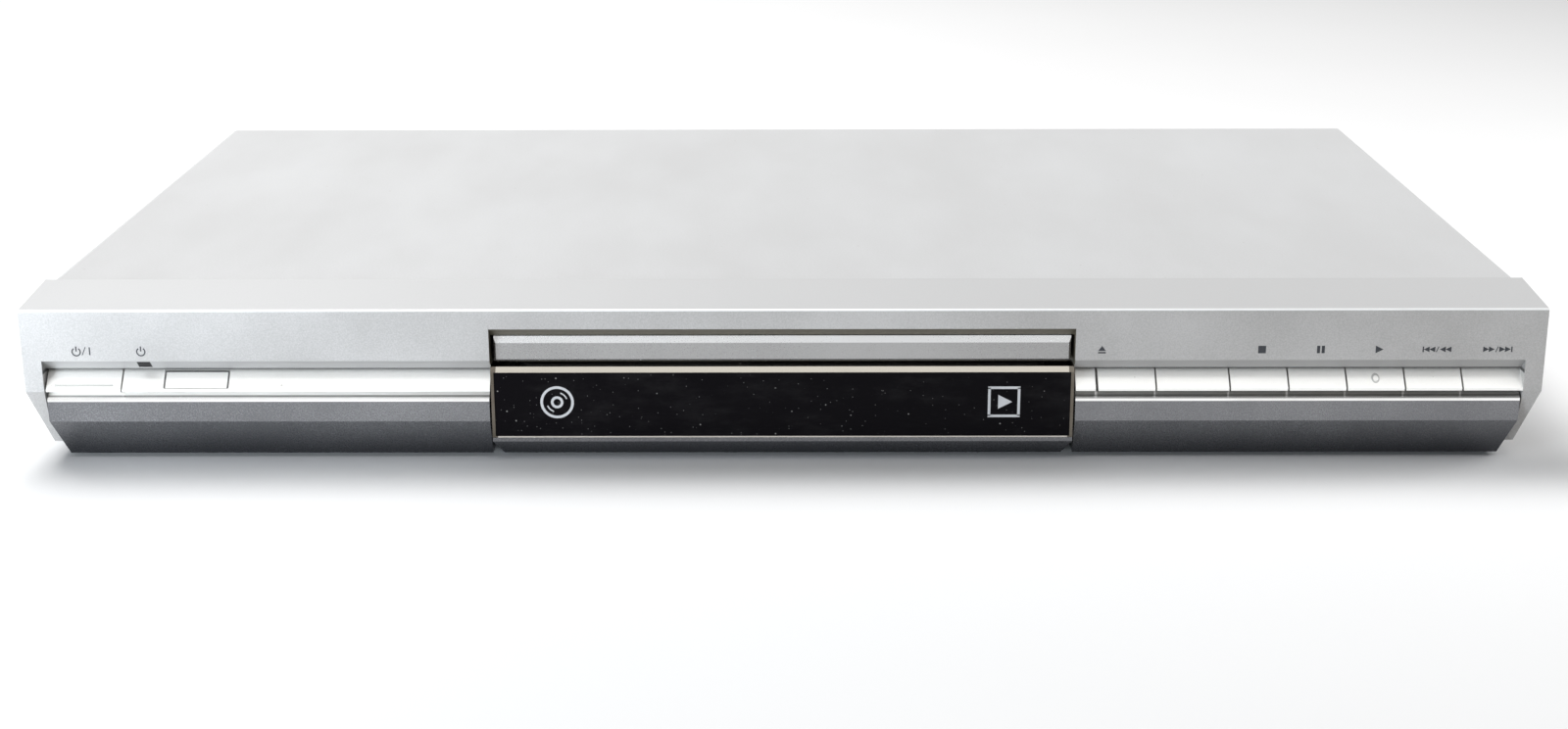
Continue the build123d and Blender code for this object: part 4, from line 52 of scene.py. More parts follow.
# ---- sizes --------------------------------------------------------------------------
MM = 0.001
FACE_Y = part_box("fascia")[0].y              # the plane of the front moulding's face
IMAGE_WIDTH = 1600                          # pixels
SENSOR = 36.0
FOCAL_PIXELS = 2316.0
CAMERA_PLACE = (4.4 * MM, -740.9 * MM, 218.1 * MM)
CAMERA_PITCH = radians(17.16)               # looks down this much
CAMERA_YAW = radians(0.36)
CAMERA_ROLL = radians(-0.17)
PRINT_LIFT = 0.03 * MM                      # prints stand this far off what carries them
SYMBOL_Z = 33.1                             # millimetres: the row of symbols over the keys
SYMBOL = 2.2                                # height of one
LINE = 0.38                                 # thin lines of the symbols
SKIP_SYMBOL = 1.65                          # height of the smaller arrows of the skip keys
SKIP_ARROW_XS = (-3.15, -1.55, 1.4, 3.0)    # their middles, from the key's middle
SKIP_BAR_X = 4.1                            # the bar at the end of a skip mark
SLASH_XS = (-0.4, 0.25)                     # foot and top of the slash in its middle
EJECT_X = 90.2
EJECT_BAR = 0.44                            # the bar under the eject arrow
EJECT_GAP = 0.31
PAUSE_BAR = 0.4                             # width of a pause bar, as a share of its height
PAUSE_REACH = 0.3                           # and its way from the middle
STANDBY_XS = (-199.5, -181.2)
STANDBY_RADIUS = 1.15
STANDBY_DROP = 0.3                          # the circle's middle is this far below the row's
STANDBY_ARC = (125, 415)                    # degrees, with the gap at the top
STANDBY_BAR = 1.5
STANDBY_BAR_RISE = 0.55
ON_SLASH_XS = (1.6, 2.7)                    # the slash and bar behind the power key's mark
ON_BAR_X = 3.8
ON_DROP = 0.1                               # they reach lower than the row
DISC_MARK = (-64.0, 17.6, 4.4)              # place and radius of the mark printed in the window
DISC_HUB = 0.32                             # its hub and glints, as shares of its radius
DISC_GLINT = 0.66
GLINT_STARTS = (20, 200)                    # degrees
GLINT_ARC = 50
PLAY_MARK = (63.0, 17.6, 4.2)               # place and half width of the other mark
PLAY_FOOT = 0.4                             # its arrow, as shares of the half width
PLAY_TIP = 0.55
LEDGE_EDGE = 18.6                           # the plating's painted reflection changes tone at this height
LEDGE_GROOVE = 19.3                         # and dips to a painted dark line at this one
LEDGE_GROOVE_HALF = 0.12                    # darkest within this
LEDGE_GROOVE_END = 0.3                      # and back to the tone at this
LEDGE_CHANGE_X = 200.0                      # from left to right its painted reflection changes between these
# the frame's painted reflection changes tone at this height
FRAME_EDGE = 26.4
FRAME_HALF_WIDTH = 81.2                     # its ends are darker past this, painted shade
FRONT_EDGE = 44.5                           # painted highlight above this height, at the face
TOP_METAL = 0.15                            # and duller further back
DOOR_EDGE = 34.6                            # the door's bevel starts here, with a painted highlight above it
SEAM = 0.35                                 # painted shade line round the blank insert
KEY_FOOT = 0.7                              # upright lower edge of the keys
GROOVE_UP = 0.2                             # share of the face below the power key's groove
GROOVE_IN = 2.2                             # it ends this far from the key's ends
GROOVE_HALF = 0.22
DOT_RADIUS = 0.95                           # raised dot on the play key
INSIDE = 0.12                               # further behind the face than this is inside an opening
RECESS_HALF_WIDTH = 82.9                    # the tray's opening
RECESS_LOW = 28.0
RECESS_HIGH = 39.5
LIP_LOW = 26.0                              # the lip over the keys
LIP_HIGH = 30.0
LIP_FOOT_LOW = 26.7                         # its painted shade turns black between these heights
LIP_FOOT_HIGH = 27.3
LOW_SHADE_TOP = 12.5                             # painted shade darkens the chins' coat between these heights
LOW_SHADE_BOTTOM = 1.0
HEAD_RADIUS = 3.0                           # screw heads
HEAD_HEIGHT = 1.1
HEAD_DOME = 0.45                            # the rim is lower by this share of the height
REAR_SCREW_IN = 17.5                        # outer screws of the rear lip, in from the cover's sides
SIDE_SCREW_YS = (-58.0, 77.0)
CROSS_ARM = 1.75                            # their cross recess, from the middle to an arm's end
CROSS_HALF = 0.36
CROSS_DEEP = 0.8
CROSS_SLOPE = 0.12                          # its walls lean over this width
FEED_RADIUS = 1.5                           # feed screw
FEED_LEAD = 3.0
FEED_DEPTH = 0.35                           # of its thread
FEED_PLAIN = 4.0                            # plain length at each end
FLANK_SLOPE = 2.2                           # steepness of the thread's flanks
FLANK_START = 0.6                           # and the width of its crest
SOCKET_COLUMNS = 6
SOCKET_RADIUS = 4.15
RING_PLAY = 0.15                            # coloured rings round the sockets
RING_WIDTH = 1.1
RING_THICK = 1.3
RING_EDGE = 0.3                             # chamfer of their outer edge
FLOOR_HALF = 3.0                            # metres
FILL_LIGHT = 0.12                           # of the world, away from the camera and gloss

# ---- camera -------------------------------------------------------------------------
camera_data = bpy.data.cameras.new("camera")
camera = bpy.data.objects.new("camera", camera_data)
bpy.context.scene.collection.objects.link(camera)
camera_data.sensor_width = SENSOR
camera_data.lens = FOCAL_PIXELS * SENSOR / IMAGE_WIDTH
camera_data.clip_start = 0.01
turn = (Matrix.Rotation(CAMERA_YAW, 4, "Z") @ Matrix.Rotation(pi / 2 - CAMERA_PITCH, 4, "X")
        @ Matrix.Rotation(CAMERA_ROLL, 4, "Z"))
camera.matrix_world = Matrix.Translation(CAMERA_PLACE) @ turn
bpy.context.scene.camera = camera
bpy.context.scene.view_settings.view_transform = "Standard"


# ======================================================================================
# Shader writing
# ======================================================================================
class Wire:
    """A shader socket; sums written on it become Math nodes."""

    def __init__(self, finish, socket):
        self.finish = finish
        self.socket = socket

    def with_other(self, operation, first, second):
        return self.finish.node("ShaderNodeMath", {"operation": operation}, {0: first, 1: second})

    def __add__(self, other):
        return self.with_other("ADD", self, other)

    def __sub__(self, other):
        return self.with_other("SUBTRACT", self, other)

    def __rsub__(self, other):
        return self.with_other("SUBTRACT", other, self)

    def __mul__(self, other):
        return self.with_other("MULTIPLY", self, other)

    def __gt__(self, other):
        return self.with_other("GREATER_THAN", self, other)

    def __lt__(self, other):
        return self.with_other("LESS_THAN", self, other)

    __radd__ = __add__
    __rmul__ = __mul__


class Finish:
    """A material being made: its node tree, its shader and the patterns it draws."""

    def __init__(self, name, **constants):
        self.material = bpy.data.materials.new(name)
        self.material.use_nodes = True
        self.tree = self.material.node_tree
        self.shader = self.tree.nodes["Principled BSDF"]
        for socket, value in constants.items():
            self.shader.inputs[socket.replace("_", " ")].default_value = value
        self.place = self.node("ShaderNodeTexCoord", {}, {}, "Object")

    def node(self, kind, settings, sockets, output=0):
        """Any node: its settings first, then its sockets' values or links."""
        made = self.tree.nodes.new(kind)
        for setting, value in settings.items():
            setattr(made, setting, value)
        for key, value in sockets.items():
            if isinstance(value, Wire):
                self.tree.links.new(value.socket, made.inputs[key])
            else:
                made.inputs[key].default_value = value
        return Wire(self, made.outputs[output])

    def feed(self, socket, value):
        """Link a pattern to the shader."""
        self.tree.links.new(value.socket, self.shader.inputs[socket])

    def stretched(self, x, y, z):
        """Object coordinates scaled along each axis, for streaks and grain with a direction."""
        sockets = {0: self.place, 1: (x, y, z)}
        return self.node("ShaderNodeVectorMath", {"operation": "MULTIPLY"}, sockets)

    def axis(self, name):
        """One coordinate of the piece, in metres."""
        return self.node("ShaderNodeSeparateXYZ", {}, {0: self.place}, name)

    def size(self, value):
        """A value without its sign."""
        return self.node("ShaderNodeMath", {"operation": "ABSOLUTE"}, {0: value})

    def noise(self, scale, detail=2.0, roughness=0.5, where=None):
        """Fractal noise about 0.5, with this many features to the metre."""
        sockets = {"Vector": where or self.place, "Scale": scale}
        sockets |= {"Detail": detail, "Roughness": roughness}
        return self.node("ShaderNodeTexNoise", {}, sockets)

    def step(self, value, low, high, start=0.0, end=1.0):
        """Smooth change from start to end as the value goes from low to high."""
        sockets = {"Value": value, "From Min": low, "From Max": high, "To Min": start, "To Max": end}
        return self.node("ShaderNodeMapRange", {"interpolation_type": "SMOOTHSTEP"}, sockets)

    def mix(self, share, first, second):
        """From the first colour to the second as the share goes from 0 to 1."""
        return self.node("ShaderNodeMix", {"data_type": "RGBA"}, {0: share, 6: first, 7: second}, 2)

    def specks(self, scale, size, keep):
        """Scattered round specks: cell points this many to the metre, of which a share is kept."""
        cell = {"Vector": self.place, "Scale": scale, "Randomness": 1.0}
        near = self.node("ShaderNodeTexVoronoi", {}, cell, "Distance")
        tint = self.node("ShaderNodeTexVoronoi", {}, cell, "Color")
        chance = self.node("ShaderNodeSeparateColor", {}, {0: tint}, 0)
        amount = self.node("ShaderNodeSeparateColor", {}, {0: tint}, 1)
        kept = chance < keep
        return kept * self.step(near, size * (0.35 + amount * 0.65), 0.0)

    def bump(self, height, distance, strength):
        """A bump of this height in metres."""
        sockets = {"Height": height, "Distance": distance, "Strength": strength}
        return self.node("ShaderNodeBump", {}, sockets)


def rgb(red, green, blue):
    return (red, green, blue, 1.0)


def grey(value):
    return (value, value, value, 1.0)


def dress(finish, *names):
    """Give CAD nodes their finish."""
    for name in names:
        mesh = frame["nodes"][name].data
        mesh.materials.clear()
        mesh.materials.append(finish.material)


# ======================================================================================
# Finishes
# ======================================================================================
DUST = rgb(0.42, 0.4, 0.37)
# painted shade in the gaps and grooves of the keys
PAINTED_SHADE_TONE = grey(0.2)
OPENING_SHADE = rgb(0.112, 0.101, 0.076)            # painted shade inside the tray's opening, olive
# painted shade on the lip over the keys, darkest at its foot
LIP_SHADE_TONE = grey(0.24)
LIP_FOOT_SHADE = grey(0.06)
LOW_SHADE_TONE = rgb(0.02, 0.021, 0.027)         # painted shade at the lower edge of the chins
LIP_SHADE_SHARE = 0.65                            # how far the lip goes to its painted shade
LOW_SHADE_SHARE = 0.72                           # and the chins to their painted shade
CLOUD_SHARE = 0.45                          # clouds in the tone, with flake for the rest


def painted_opening_shade(finish, base):
    """Painted shade: olive inside the tray's opening, and a dark lip over the keys that is darkest at
    its foot.
    """
    behind = finish.axis("Y") > FACE_Y + INSIDE * MM
    beside = finish.size(finish.axis("X")) < RECESS_HALF_WIDTH * MM
    height = finish.axis("Z")
    between = (height > RECESS_LOW * MM) * (height < RECESS_HIGH * MM)
    lip = behind * (1.0 - beside) * (height > LIP_LOW * MM) * (height < LIP_HIGH * MM)
    foot = lip * finish.step(height, LIP_FOOT_HIGH * MM, LIP_FOOT_LOW * MM)
    base = finish.mix(lip * LIP_SHADE_SHARE, base, LIP_SHADE_TONE)
    base = finish.mix(foot, base, LIP_FOOT_SHADE)
    return finish.mix(behind * beside * between, base, OPENING_SHADE)


def silver_coat(name, dark, light, roughness, metal, flake, dust, streak=(1, 1, 1), shaded=False,
                painted_low_shade=False, polished=None, painted_shade=None):
    """Silver paint: fine metal flake over a cloudy tone, with dust in its own colour.

    Where shaded, painted shade makes it darker inside the openings. With painted low shade, it darkens
    from the fold down to the lower edge, as painted shade. The painted highlight gives a height, a depth
    behind the face, and the tones above that height in front of that depth and behind it. Painted shade
    darkens it where the given pattern picks.
    """
    finish = Finish(name, Metallic=metal, Specular_IOR_Level=0.5)
    clouds = finish.noise(22.0, 4.0, 0.6, finish.stretched(*streak))
    grain = finish.noise(flake, 2.0, 0.7)
    share = finish.step(clouds * CLOUD_SHARE + grain * (1 - CLOUD_SHARE), 0.32, 0.68)
    base = finish.mix(share, dark, light)
    specks = finish.specks(260.0, 0.16, dust)
    if shaded:
        base = painted_opening_shade(finish, base)
    # painted shade, darker from the fold down to the lower edge
    if painted_low_shade:
        lower = finish.step(finish.axis("Z"), LOW_SHADE_TOP * MM, LOW_SHADE_BOTTOM * MM, 0.0, LOW_SHADE_SHARE)
        base = finish.mix(lower, base, LOW_SHADE_TONE)
    # painted highlight above a height in front of a depth behind the face; behind that depth the top
    # takes the cover's tone, lighter than the face, which partly paints the light on the top
    if polished:
        height, depth, front_tone, rear_tone = polished
        bright = finish.step(finish.axis("Z"), (height - 0.1) * MM, (height + 0.1) * MM)
        further = finish.axis("Y") > FACE_Y + depth * MM
        base = finish.mix(bright, base, finish.mix(further, grey(front_tone), grey(rear_tone)))
        finish.feed("Metallic", metal - bright * further * (metal - TOP_METAL))
    # painted shade where the given pattern picks
    if painted_shade:
        base = finish.mix(painted_shade(finish), base, PAINTED_SHADE_TONE)
    finish.feed("Base Color", finish.mix(specks * 0.6, base, DUST))
    worn = finish.step(grain * 0.7 + clouds * 0.3, 0.3, 0.7, roughness - 0.06, roughness + 0.08)
    finish.feed("Roughness", worn + specks * 0.2)
    finish.feed("Normal", finish.bump(grain, 0.012 * MM, 0.35))
    return finish


def beyond(finish, name, middle, half):
    """Further than half a width from the middle, along one axis."""
    return finish.size(finish.axis(name) - middle) > half


def seam_shade(finish):
    """Painted shade round the rim of the blank insert."""
    low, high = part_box("blank_insert")
    across = beyond(finish, "X", (low.x + high.x) / 2, (high.x - low.x) / 2 - SEAM * MM)
    upright = beyond(finish, "Z", (low.z + high.z) / 2, (high.z - low.z) / 2 - SEAM * MM)
    return finish.node("ShaderNodeMath", {"operation": "MAXIMUM"}, {0: across, 1: upright})


def key_groove_shade(finish):
    """Painted shade in the groove along the power key."""
    low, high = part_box("power_button")
    foot = low.z + KEY_FOOT * MM
    across = beyond(finish, "X", (low.x + high.x) / 2, (high.x - low.x) / 2 - GROOVE_IN * MM)
    upright = beyond(finish, "Z", foot + (high.z - foot) * GROOVE_UP, GROOVE_HALF * MM)
    return (1.0 - across) * (1.0 - upright) * 0.5


def dot_shade(finish):
    """Painted shade round the foot of the play key's dot."""
    low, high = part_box("play_button")
    middle = ((low.x + high.x) / 2, 0.0, (low.z + KEY_FOOT * MM + high.z) / 2)
    flat = finish.stretched(1, 0, 1)
    away = finish.node("ShaderNodeVectorMath", {"operation": "DISTANCE"}, {0: flat, 1: middle}, "Value")
    return finish.step(finish.size(away - DOT_RADIUS * MM), 0.1 * MM, 0.3 * MM, 0.55, 0.0)


def key_paint(name, painted_shade=None):
    """The pale paint of the keys and their strip."""
    return silver_coat(name, rgb(0.965, 0.96, 0.93), rgb(1.0, 0.995, 0.965), roughness=0.4, metal=0.8,
                       flake=2500.0, dust=0.03, painted_shade=painted_shade)


cover_paint = silver_coat("cover_paint", grey(0.53), rgb(0.60, 0.605, 0.61), roughness=0.42, metal=0.2,
                          flake=1500.0, dust=0.07, streak=(1, 0.4, 1))
moulding = silver_coat("silver_moulding", rgb(0.385, 0.376, 0.367), rgb(0.515, 0.506, 0.497),
                       roughness=0.45, metal=0.35, flake=2400.0, dust=0.06, shaded=True,
                       polished=(FRONT_EDGE, 0.6, 0.86, 0.53))
chin_paint = silver_coat("dark_silver", rgb(0.17, 0.172, 0.182), rgb(0.25, 0.252, 0.262),
                         roughness=0.24, metal=0.9, flake=2400.0, dust=0.03, painted_low_shade=True)
key_coat = key_paint("key_coat")
blank_coat = key_paint("blank_coat", seam_shade)
power_coat = key_paint("power_coat", key_groove_shade)
play_coat = key_paint("play_coat", dot_shade)
# painted highlight on the door's bevel
door_coat = silver_coat("door_coat", rgb(0.33, 0.325, 0.322), rgb(0.42, 0.415, 0.412),
                        roughness=0.3, metal=0.75, flake=2400.0, dust=0.03,
                        polished=(DOOR_EDGE, 8.0, 0.72, 0.72))


def plating(name, upper, lower, edge, far=None, groove=None, half_width=None):
    """Plating with haze and dust, in one tone above a height and another below it.

    Both tones are painted reflection. The upper tone may change to a far one from left to right, a
    painted reflection, and dip to a painted dark line at a height.
    Past a half width the tone is dull, painted shade.
    """
    finish = Finish(name, Metallic=1.0)
    haze = finish.noise(60.0, 4.0, 0.65, finish.stretched(0.3, 1, 1))
    # painted reflection: the upper tone changes from left to right
    if far:
        change = LEDGE_CHANGE_X * MM
        upper = finish.mix(finish.step(finish.axis("X"), -change, change), upper, far)
    # painted dark line at the groove's height
    if groove:
        away = finish.size(finish.axis("Z") - groove * MM)
        dip = finish.step(away, LEDGE_GROOVE_HALF * MM, LEDGE_GROOVE_END * MM, 0.7, 0.0)
        upper = finish.mix(dip, upper, grey(0.08))
    above = finish.step(finish.axis("Z"), (edge - 0.05) * MM, (edge + 0.05) * MM)
    tone = finish.mix(above, lower, upper)
    # painted shade: the tone is dull past a half width
    if half_width:
        past = finish.size(finish.axis("X")) > half_width * MM
        tone = finish.mix(past, tone, rgb(0.12, 0.105, 0.085))
    film = finish.step(haze, 0.35, 0.7) * 0.25
    finish.feed("Base Color", finish.mix(film, tone, rgb(0.30, 0.28, 0.25)))
    specks = finish.specks(420.0, 0.2, 0.12)
    finish.feed("Roughness", finish.step(haze, 0.3, 0.75, 0.08, 0.22) + specks * 0.4)
    return finish


def gloss_window():
    """Smoked window: black gloss with dust specks and wiped smears."""
    finish = Finish("gloss_window", Specular_IOR_Level=0.04)
    specks = finish.specks(420.0, 0.22, 0.22)
    fine = finish.specks(1100.0, 0.3, 0.16)
    smear = finish.step(finish.noise(35.0, 5.0, 0.7, finish.stretched(1, 1, 2.5)), 0.45, 0.75)
    dust = specks * 0.75 + fine * 0.4 + smear * 0.015
    finish.feed("Base Color", finish.mix(dust, rgb(0.0035, 0.003, 0.004), rgb(0.5, 0.49, 0.47)))
    finish.feed("Roughness", smear * 0.12 + 0.06 + specks * 0.4)
    return finish


def moulded(name, colour, worn, roughness=0.5, grain=1800.0, depth=0.02):
    """Moulded plastic with spark grain, a faint mottle and paler handling marks."""
    finish = Finish(name)
    mottle = finish.noise(70.0, 4.0, 0.6)
    spark = finish.noise(grain, 2.0, 0.6)
    share = finish.step(mottle * 0.6 + spark * 0.4, 0.35, 0.7)
    finish.feed("Base Color", finish.mix(share, colour, worn))
    finish.feed("Roughness", finish.step(mottle, 0.3, 0.7, roughness - 0.05, roughness + 0.1))
    finish.feed("Normal", finish.bump(spark, depth * MM, 0.5))
    return finish


def sheet_steel(name, dark, light, roughness, roll):
    """Rolled and plated sheet: streaks along the rolling direction over a crystalline mottle."""
    finish = Finish(name, Metallic=1.0)
    streaks = finish.noise(900.0, 3.0, 0.6, finish.stretched(*roll))
    mottle = finish.noise(110.0, 4.0, 0.65)
    share = finish.step(streaks * 0.5 + mottle * 0.5, 0.35, 0.68)
    finish.feed("Base Color", finish.mix(share, dark, light))
    finish.feed("Roughness", finish.step(mottle, 0.3, 0.7, roughness - 0.07, roughness + 0.1))
    finish.feed("Normal", finish.bump(streaks, 0.006 * MM, 0.4))
    return finish


def circuit_board(name, mask):
    """Solder mask over copper tracks, with a grid of tinned pads."""
    finish = Finish(name, Coat_Weight=0.3, Coat_Roughness=0.2)
    bent = finish.noise(55.0, 1.0, 0.4)
    track = finish.node("ShaderNodeTexWave", {"wave_type": "BANDS", "bands_direction": "DIAGONAL"},
                        {"Vector": finish.place, "Scale": 260.0, "Distortion": 9.0, "Detail": 1.0,
                         "Detail Scale": 0.3}, "Fac")
    copper = finish.step(track * finish.step(bent, 0.35, 0.5), 0.45, 0.62)
    pads = finish.specks(240.0, 0.22, 0.35)
    over_copper = rgb(mask[0] * 1.7 + 0.02, mask[1] * 1.5 + 0.03, mask[2] * 1.5 + 0.01)
    base = finish.mix(copper, mask, over_copper)
    finish.feed("Base Color", finish.mix(pads, base, rgb(0.7, 0.69, 0.66)))
    finish.feed("Metallic", pads * 0.9)
    finish.feed("Roughness", 0.42 - pads * 0.15)
    finish.feed("Normal", finish.bump(copper + pads, 0.05 * MM, 0.6))
    return finish


def banded(name, first, second, pitch, direction, roughness, metal=0.0):
    """Fine bands side by side, such as a ribbon's wires, a winding or a stack of laminations."""
    finish = Finish(name, Metallic=metal)
    ahead = finish.axis(direction) * (2 * pi / (pitch * MM))
    wave = finish.node("ShaderNodeMath", {"operation": "SINE"}, {0: ahead})
    mottle = finish.noise(120.0, 3.0, 0.6)
    band = finish.step(wave, -0.3, 0.5)
    base = finish.mix(band, first, second)
    film = finish.step(mottle, 0.45, 0.8) * 0.25
    finish.feed("Base Color", finish.mix(film, base, rgb(0.3, 0.29, 0.27)))
    finish.feed("Roughness", finish.step(mottle, 0.3, 0.7, roughness - 0.05, roughness + 0.1))
    finish.feed("Normal", finish.bump(band, 0.08 * MM, 0.7))
    return finish


ledge_plating = plating("ledge_plating", grey(1.0), rgb(0.97, 0.97, 0.96), LEDGE_EDGE,
                        far=grey(0.28), groove=LEDGE_GROOVE)
# the frame's tones above and below its edge are painted reflection, and its dull ends painted shade
frame_plating = plating("frame_plating", rgb(0.50, 0.47, 0.41), rgb(0.75, 0.71, 0.66), FRAME_EDGE,
                        half_width=FRAME_HALF_WIDTH)
window_gloss = gloss_window()
black_moulded = moulded("black_moulded", rgb(0.018, 0.018, 0.02), rgb(0.035, 0.035, 0.038))
tray_plastic = moulded("tray_plastic", rgb(0.028, 0.028, 0.031), rgb(0.05, 0.05, 0.054),
                       0.55, 2600.0, 0.03)
white_moulded = moulded("white_moulded", rgb(0.72, 0.71, 0.67), rgb(0.78, 0.77, 0.73),
                        0.42, 1500.0, 0.015)
soft_rubber = moulded("soft_rubber", rgb(0.022, 0.022, 0.022), rgb(0.06, 0.058, 0.055),
                      0.8, 900.0, 0.05)
zinc_sheet = sheet_steel("zinc_sheet", rgb(0.52, 0.53, 0.54), rgb(0.66, 0.67, 0.68), 0.34, (0.06, 1, 1))
machined_steel = sheet_steel("machined_steel", rgb(0.56, 0.56, 0.57), rgb(0.7, 0.7, 0.71),
                             0.22, (1, 0.08, 1))
screw_black = sheet_steel("screw_black", rgb(0.10, 0.10, 0.105), rgb(0.2, 0.2, 0.2), 0.32, (1, 1, 1))
cast_alloy = sheet_steel("cast_alloy", rgb(0.48, 0.49, 0.5), rgb(0.62, 0.63, 0.64), 0.5, (1, 1, 1))
gilt = sheet_steel("gilt", rgb(0.72, 0.55, 0.25), rgb(0.85, 0.68, 0.36), 0.24, (1, 0.1, 1))
main_mask = circuit_board("main_mask", rgb(0.015, 0.11, 0.045))
power_mask = circuit_board("power_mask", rgb(0.23, 0.13, 0.045))
ribbon = banded("ribbon", rgb(0.74, 0.76, 0.8), rgb(0.52, 0.54, 0.6), 1.0, "X", 0.35)
winding = banded("winding", rgb(0.3, 0.12, 0.03), rgb(0.5, 0.24, 0.07), 0.7, "Z", 0.35)
epoxy = moulded("epoxy", rgb(0.014, 0.014, 0.015), rgb(0.03, 0.03, 0.03), 0.45, 1200.0, 0.01)
sleeve = moulded("sleeve", rgb(0.01, 0.014, 0.05), rgb(0.02, 0.026, 0.08), 0.3, 900.0, 0.005)
coated_glass = moulded("coated_glass", rgb(0.03, 0.035, 0.04), rgb(0.06, 0.065, 0.07),
                       0.12, 1500.0, 0.003)

print_ink = moulded("print_ink", rgb(0.022, 0.024, 0.03), rgb(0.04, 0.042, 0.05), 0.4, 4000.0, 0.002)
pale_ink = moulded("pale_ink", rgb(0.50, 0.50, 0.51), rgb(0.58, 0.58, 0.59), 0.4, 4000.0, 0.002)
RING_TONES = {
    "yellow": (rgb(0.75, 0.55, 0.05), rgb(0.8, 0.62, 0.1)),
    "white": (rgb(0.75, 0.75, 0.73), rgb(0.8, 0.8, 0.78)),
    "red": (rgb(0.5, 0.03, 0.03), rgb(0.58, 0.06, 0.05)),
    "green": (rgb(0.03, 0.3, 0.09), rgb(0.05, 0.36, 0.12)),
    "blue": (rgb(0.03, 0.08, 0.4), rgb(0.05, 0.11, 0.46)),
}
RING_FINISHES = {colour: moulded(f"{colour}_ring", *tones, 0.4, 1500.0, 0.01)
                 for colour, tones in RING_TONES.items()}
RING_COLOURS = (("yellow", "white", "red", "green", "white", "red"),
                ("yellow", "white", "red", "blue", "red", "white"))

dress(cover_paint, "top_cover", "rear_panel")
dress(moulding, "fascia")
dress(chin_paint, "chin_left", "chin_right", "centre_chin")
dress(door_coat, "tray_door")
dress(blank_coat, "blank_insert")
dress(power_coat, "power_button")
dress(play_coat, "play_button")
dress(key_coat, "strip_left", "strip_stub", "open_close_button", "enhancer_button", "stop_button",
      "pause_button", "skip_back_button", "skip_forward_button")
dress(frame_plating, "window_frame")
dress(ledge_plating, "ledge_trim_left", "ledge_trim_right")
dress(window_gloss, "display_window", "standby_lens")
dress(black_moulded, "feet", "loader_frame", "turntable", "av_jack_block", "mains_inlet")
dress(tray_plastic, "disc_tray")
dress(white_moulded, "clamper", "cam_slider", "motor_pulley", "pulley_gear", "tray_gear")
dress(soft_rubber, "foot_pads", "drive_belt", "traverse_bushes")
dress(zinc_sheet, "base_pan", "clamper_bridge", "traverse_plate", "loading_motor", "feed_motor")
dress(machined_steel, "guide_rods", "feed_screw", "spindle_motor", "heat_sink")
dress(screw_black, "cover_screws", "inner_screws")
dress(cast_alloy, "pickup_sled")
dress(gilt, "phono_sockets", "mains_prongs")
dress(main_mask, "main_board", "key_boards")
dress(power_mask, "power_board")
dress(ribbon, "ribbon_cable")
dress(winding, "transformer")
dress(epoxy, "main_chips")
dress(sleeve, "capacitors")
dress(coated_glass, "display_tube", "objective_lens")


# ======================================================================================
# Pieces made here
# ======================================================================================
def piece(name, grids, finish, body, round_trip=False, smooth=True):
    """A piece from grids of points in millimetres: rows joined to rows, columns to columns.

    In a round trip the last column of a grid joins its first.
    """
    points = []
    faces = []
    count = 0
    for grid in grids:
        rows, columns = grid.shape[:2]
        number = count + np.arange(rows * columns).reshape(rows, columns)
        if round_trip:
            number = np.concatenate([number, number[:, :1]], axis=1)
        quads = np.stack([number[:-1, :-1], number[:-1, 1:], number[1:, 1:], number[1:, :-1]], axis=-1)
        points.append(grid.reshape(-1, 3) * MM)
        faces.append(quads.reshape(-1, 4))
        count += rows * columns
    mesh = bpy.data.meshes.new(name)
    mesh.from_pydata(np.concatenate(points).tolist(), [], np.concatenate(faces).tolist())
    mesh.materials.append(finish.material)
    mesh.polygons.foreach_set("use_smooth", [smooth] * len(mesh.polygons))
    made = bpy.data.objects.new(name, mesh)
    bpy.context.scene.collection.objects.link(made)
    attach(made, body)
    return made


def stroke(points, half_widths, plane):
    """A flat stroke facing the front: a path in (x, z) moved to both sides by its half widths."""
    path = np.array(points, float)
    ahead = np.gradient(path, axis=0)
    ahead = ahead / np.linalg.norm(ahead, axis=1, keepdims=True)
    aside = np.stack([-ahead[:, 1], ahead[:, 0]], axis=1)
    reach = aside * np.broadcast_to(half_widths, len(path))[:, None]
    edges = np.stack([path - reach, path + reach])
    return np.insert(edges, 1, plane, axis=2)


def bar(x, z, wide, tall, plane):
    return stroke([(x - wide / 2, z), (x + wide / 2, z)], tall / 2, plane)


def arrow(foot, tip, wide, plane):
    """A solid triangle from the middle of its foot to its tip."""
    return stroke([foot, tip], (wide / 2, 0.01), plane)


def ring(x, z, radius, start, end, plane, line=LINE):
    """An arc about (x, z): radius times cosine and sine of the angle from start to end, in degrees."""
    angle = np.radians(np.linspace(start, end, 49))
    path = np.stack([x + radius * np.cos(angle), z + radius * np.sin(angle)], axis=1)
    return stroke(path, line / 2, plane)


def middle_x(node):
    low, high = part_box(node)
    return (low.x + high.x) / 2 / MM


